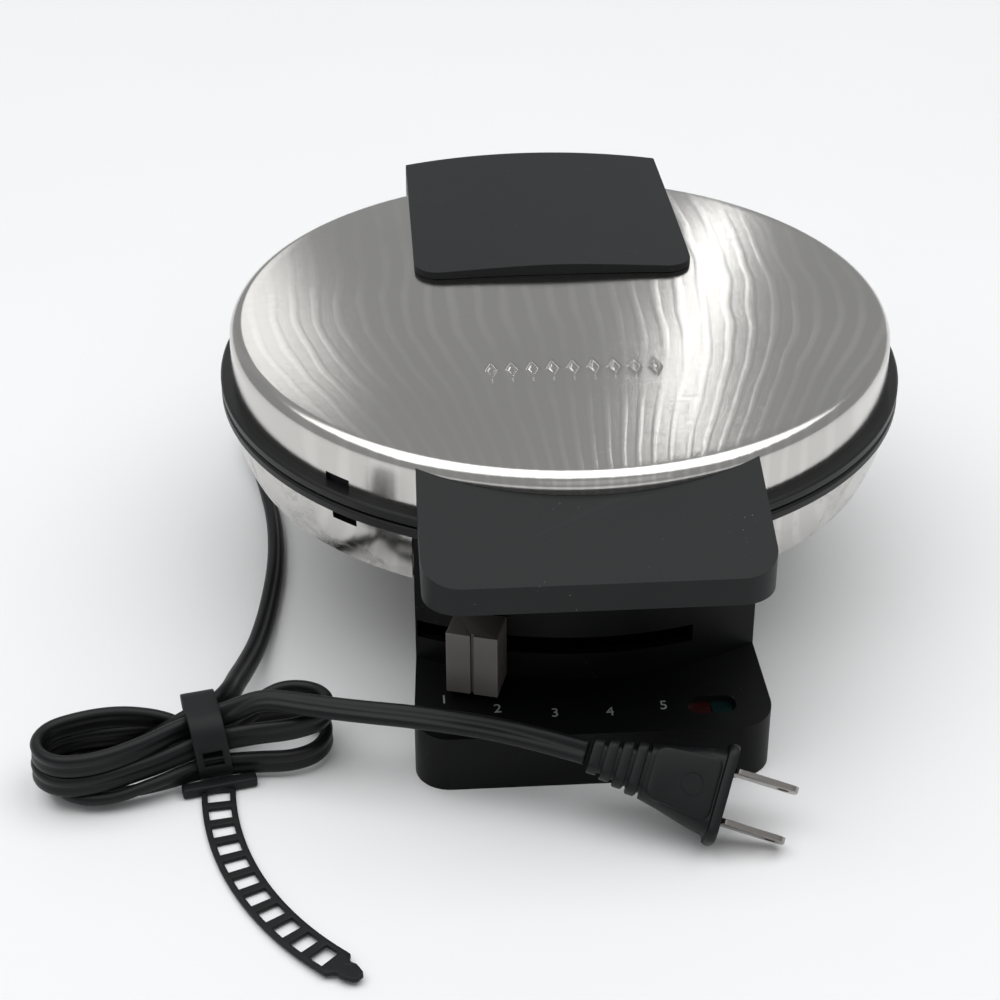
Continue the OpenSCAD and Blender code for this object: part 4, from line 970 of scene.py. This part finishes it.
class WAFFLE_OT_tie(Making, bpy.types.Operator):
    """Makes the rubber tie: its band, head plate and ladder tail"""

    bl_idname = "waffle.tie"
    bl_label = "Cord tie"

    def make(self, sizes):
        obj = cut(self.band(), self.head(), self.tail(), operation="UNION")
        obj.name = "lead_tie"
        finish_piece(sharpen(obj, 45.0), "black_rubber", "root", "cord_tie")

    def frame_at(self):
        """The tie's own frame: X along the hank, from the tie's middle on the table."""
        return Matrix.Translation((TIE_AT[0], TIE_AT[1], 0)) @ Matrix.Rotation(
            HANK_TURN, 4, "Z")

    def band(self):
        low, high, side, r = BAND_LOW, BAND_HIGH, BAND_SIDE, BAND_ROUND
        loop = (arc(side - r, low + r, r, -90, 0, 6) + arc(side - r, high - r, r, 0, 90, 6)
                + arc(-side + r, high - r, r, 90, 180, 6)
                + [(-side, z) for z in (0.0120, 0.0114, 0.0094, 0.0088, 0.0068)]
                + arc(-side + r, low + r, r, 180, 270, 6))
        rows = []
        for k, (v, z) in enumerate(loop + loop[:1]):
            before = loop[k - 1]
            after = loop[(k + 1) % len(loop)]
            along = Vector((0, after[0] - before[0], after[1] - before[1])).normalized()
            out = Vector((0, along.z, -along.y))
            window = abs(v + side) < 1e-6 and round(z, 4) in BAND_WINDOWS
            lean = BAND_LEAN * (z - low) / (high - low)
            rows.append(((lean, v, z), (1, 0, 0), out, STRAP_HALF, STRAP_HALF - BAND_EDGE,
                         window))
        obj = strap("tie_band", rows, STRAP_T)
        obj.data.transform(self.frame_at())
        return obj

    def head(self):
        obj = block("tie_head", (-0.0095, -0.0131, 0.0003), (0.0095, -0.0097, 0.0030))
        modify(obj, "BEVEL", width=0.0006, segments=3)
        settle(obj)
        obj.data.transform(self.frame_at())
        return obj

    def tail(self):
        rows = []
        inner = STRAP_HALF - TAIL_EDGE

        def facing(angle):
            a = math.radians(180 + angle)
            return Vector((math.cos(a), math.sin(a), 0))

        def row(angle, window):
            out = facing(angle)
            place = Vector((*TAIL_MIDDLE, 0)) + out * TAIL_R
            share = max(0.0, (angle - RISE_FROM) / RISE_OVER)
            place.z = TAIL_LOW + TAIL_RISE * share ** 2
            rows.append((place, out, (0, 0, 1), STRAP_HALF, inner, window))

        row(0.2, False)
        row(1.4, False)
        for k in range(WINDOWS):
            start = WINDOW_FIRST + WINDOW_STEP * k
            row(start, True)
            row(start + WINDOW_L / 2, True)
            row(start + WINDOW_L, False)
        row(TAIL_END, False)
        end = rows[-1][0]
        out = facing(TAIL_END)
        along = Vector((-out.y, out.x, 0.03))
        for step, w in ((0.0010, 0.0042), (0.0021, 0.0027), (0.0030, 0.0024), (0.0042, 0.0027),
                        (0.0056, 0.0023), (0.0070, 0.0018), (0.0079, 0.0010)):
            rows.append((end + along * step, out, (0, 0, 1), w, w * 0.6, False))
        return strap("tie_tail", rows, STRAP_T)


class WAFFLE_OT_lead(Making, bpy.types.Operator):
    """Makes the flat mains lead from the bushing through its tied folds to the plug"""

    bl_idname = "waffle.lead"
    bl_label = "Mains lead"

    def make(self, sizes):
        points = TAIL_ROUTE + hank_route() + LEAD_ROUTE[1:]
        route = smooth_route(points, LEAD_STEP)
        for _ in range(3):
            route[1:-1] = 0.25 * route[:-2] + 0.5 * route[1:-1] + 0.25 * route[2:]
        route = smooth_route(route, LEAD_STEP)
        outline = lead_section(sizes.lead_width, sizes.lead_depth)
        obj = swept("mains_lead", route, outline)
        finish_piece(obj, "cord_rubber", "root", "cord_tail", "cord_hank", "cord_lead")


class WAFFLE_OT_cover(Making, bpy.types.Operator):
    """Makes the brushed steel lid cover and its raised row of lozenges"""

    bl_idname = "waffle.cover"
    bl_label = "Lid cover"

    def make(self, sizes):
        outer = cover_outline(0.0)
        inner = cover_outline(SHEET)
        obj = turned("cover_shell", outer + inner[::-1])
        tools = [block("notch", (COVER_R - 0.004, -NOTCH_HALF, COVER_LOW - 0.001),
                       (COVER_R + 0.004, NOTCH_HALF, COVER_LOW + NOTCH_H), math.radians(a))
                 for a in (227, 47)]
        cut(obj, *tools)
        finish_piece(sharpen(obj, 40.0), "brushed_steel", "lid", "lid_cover")
        self.emblem(sizes)

    def emblem(self, sizes):
        n = LOZENGE_CELLS
        vertices = []
        faces = []
        for k in range(sizes.emblem_count):
            x0 = (k - (sizes.emblem_count - 1) / 2) * EMBLEM_STEP
            start = len(vertices)
            for i in range(n + 1):
                for j in range(n + 1):
                    u = 2 * i / n - 1
                    v = 2 * j / n - 1
                    x = x0 + LOZENGE_W * (u + v) / 2
                    y = EMBLEM_Y + LOZENGE_L * (u - v) / 2
                    edge = max(abs(u), abs(v))
                    rise = 0.5 + 0.5 * math.cos(math.pi * min(1, max(0, (edge - 0.55) / 0.45)))
                    dip = 0.35 * math.exp(-((edge - 0.2) / 0.22) ** 2)
                    height = sizes.emblem_height * (rise - dip) - 0.00004
                    vertices.append((x, y, crown_z(math.hypot(x, y)) + height))
            for i in range(n):
                for j in range(n):
                    a = start + i * (n + 1) + j
                    faces.append((a, a + 1, a + n + 2, a + n + 1))
        obj = new_object("lid_lozenges", vertices, faces)
        with edited(obj) as mesh:
            for face in mesh.faces:
                if face.normal.z < 0:
                    face.normal_flip()
        modify(obj, "SOLIDIFY", thickness=0.00025, offset=-1.0)
        finish_piece(settle(obj), "brushed_steel", "lid")


class WAFFLE_OT_skirt(Making, bpy.types.Operator):
    """Makes the lower steel skirt with its inward flange"""

    bl_idname = "waffle.skirt"
    bl_label = "Skirt"

    def make(self, sizes):
        top = SKIRT[1].z
        low = SKIRT[0].z
        steps = [k / 24 for k in range(25)]

        def wall(inset):
            return [(SKIRT_R - SKIRT_DRAW * t ** 1.8 - inset, top - (top - low) * t)
                    for t in steps]

        outline = (wall(0.0) + [(FLANGE_R, low), (FLANGE_R, low + SHEET)]
                   + [(r, z) for r, z in reversed(wall(SHEET)) if z > low + SHEET])
        obj = turned("skirt_shell", outline)
        tools = [block("notch", (0.0875, -NOTCH_HALF, top - NOTCH_H),
                       (0.0955, NOTCH_HALF, top + 0.001), math.radians(a)) for a in (229, 49)]
        tools += [block("front_gap", (-FRONT_GAP, -0.2, 0.0), (FRONT_GAP, 0.0, 0.2)),
                  block("rear_gap", (-REAR_GAP, 0.0, 0.0), (REAR_GAP, 0.2, 0.2))]
        cut(obj, *tools)
        finish_piece(sharpen(obj, 40.0), "skirt_steel", "root", "lower_skirt")


class WAFFLE_OT_rings(Making, bpy.types.Operator):
    """Makes the two moulded rings at the parting line"""

    bl_idname = "waffle.rings"
    bl_label = "Rings"

    def make(self, sizes):
        for name, node, body in (("upper_rim", "upper_ring", "lid"),
                                 ("lower_rim", "lower_ring", "root")):
            obj = softened(name, node, 0.0003, 30.0, 2)
            finish_piece(obj, "ring_plastic", body, node)


class WAFFLE_OT_mouldings(Making, bpy.types.Operator):
    """Makes the handle, the rear cap and both base housings with rounded edges"""

    bl_idname = "waffle.mouldings"
    bl_label = "Plastic mouldings"

    def make(self, sizes):
        width = sizes.moulding_round
        for name, node, body, finish, share in (
                ("handle_shell", "front_handle", "lid", "charcoal_plastic", 1.0),
                ("cap_shell", "rear_cap", "lid", "charcoal_plastic", 0.8),
                ("front_housing_shell", "control_housing", "root", "black_plastic", 0.9),
                ("rear_housing_shell", "rear_housing", "root", "black_plastic", 0.8)):
            obj = softened(name, node, width * share)
            finish_piece(obj, finish, body, node)


class WAFFLE_OT_knob(Making, bpy.types.Operator):
    """Makes the browning knob with its grooved face"""

    bl_idname = "waffle.knob"
    bl_label = "Browning knob"

    def make(self, sizes):
        obj = softened("knob_cap", "browning_knob", 0.0005, 35.0, 3)
        finish_piece(obj, "knob_metal", "browning_lever", "browning_knob")


class WAFFLE_OT_numbers(Making, bpy.types.Operator):
    """Prints the numbers of the browning settings on the shelf"""

    bl_idname = "waffle.numbers"
    bl_label = "Dial numbers"

    def make(self, sizes):
        slope = math.atan(SHELF_SLOPE)
        for number, angle in enumerate(NUMBER_ANGLES, 1):
            curve = bpy.data.curves.new("number", "FONT")
            curve.body = str(number)
            curve.size = sizes.number_height * 1.4
            curve.align_x = "CENTER"
            curve.align_y = "CENTER"
            curve.extrude = PRINT_HALF
            text = bpy.data.objects.new("number", curve)
            bpy.context.scene.collection.objects.link(text)
            bpy.context.view_layer.update()
            mesh = bpy.data.meshes.new_from_object(text)
            bpy.data.objects.remove(text)
            obj = bpy.data.objects.new(f"dial_number_{number}", mesh)
            bpy.context.scene.collection.objects.link(obj)
            a = math.radians(angle)
            x = NUMBER_R * math.sin(a)
            y = -NUMBER_R * math.cos(a)
            z = SHELF_Z + SHELF_SLOPE * (SHELF_FRONT + y) + 0.00004
            mesh.transform(Matrix.Translation((x, y, z)) @ Matrix.Rotation(slope, 4, "X"))
            finish_piece(obj, "dial_print", "root", slot="black_plastic")


class WAFFLE_OT_inner(Making, bpy.types.Operator):
    """Gives the CAD parts that stay visible their finishes"""

    bl_idname = "waffle.inner"
    bl_label = "Inner parts"

    def make(self, sizes):
        slots = {row["node"]: row["material_slot"]
                 for row in frame["record"]["subparts"] if "node" in row}
        for name, obj in frame["nodes"].items():
            if obj.hide_render:
                continue
            paint(obj, slots[name])


OPERATORS = (WAFFLE_OT_stage, WAFFLE_OT_plug, WAFFLE_OT_tie, WAFFLE_OT_lead, WAFFLE_OT_cover,
             WAFFLE_OT_skirt, WAFFLE_OT_rings, WAFFLE_OT_mouldings, WAFFLE_OT_knob,
             WAFFLE_OT_numbers, WAFFLE_OT_inner)


class WAFFLE_PT_panel(bpy.types.Panel):
    """Lists the pieces and their sizes in the sidebar"""

    bl_idname = "WAFFLE_PT_panel"
    bl_label = "Waffle Maker"
    bl_space_type = "VIEW_3D"
    bl_region_type = "UI"
    bl_category = "Waffle Maker"

    def draw(self, context):
        for group in (context.scene.waffle_sizes, context.scene.waffle_colours):
            for key in group.__annotations__:
                self.layout.prop(group, key)
        for operator in OPERATORS:
            self.layout.operator(operator.bl_idname)


CLASSES = (WaffleSizes, WaffleColours, *OPERATORS, WAFFLE_PT_panel)


def register():
    for kind in CLASSES:
        bpy.utils.register_class(kind)
    bpy.types.Scene.waffle_sizes = PointerProperty(type=WaffleSizes)
    bpy.types.Scene.waffle_colours = PointerProperty(type=WaffleColours)


def unregister():
    del bpy.types.Scene.waffle_colours
    del bpy.types.Scene.waffle_sizes
    for kind in reversed(CLASSES):
        bpy.utils.unregister_class(kind)


def main():
    """Registers the add-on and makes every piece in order."""
    register()
    for operator in OPERATORS:
        area, call = operator.bl_idname.split(".")
        getattr(getattr(bpy.ops, area), call)()


if __name__ == "__main__":
    main()
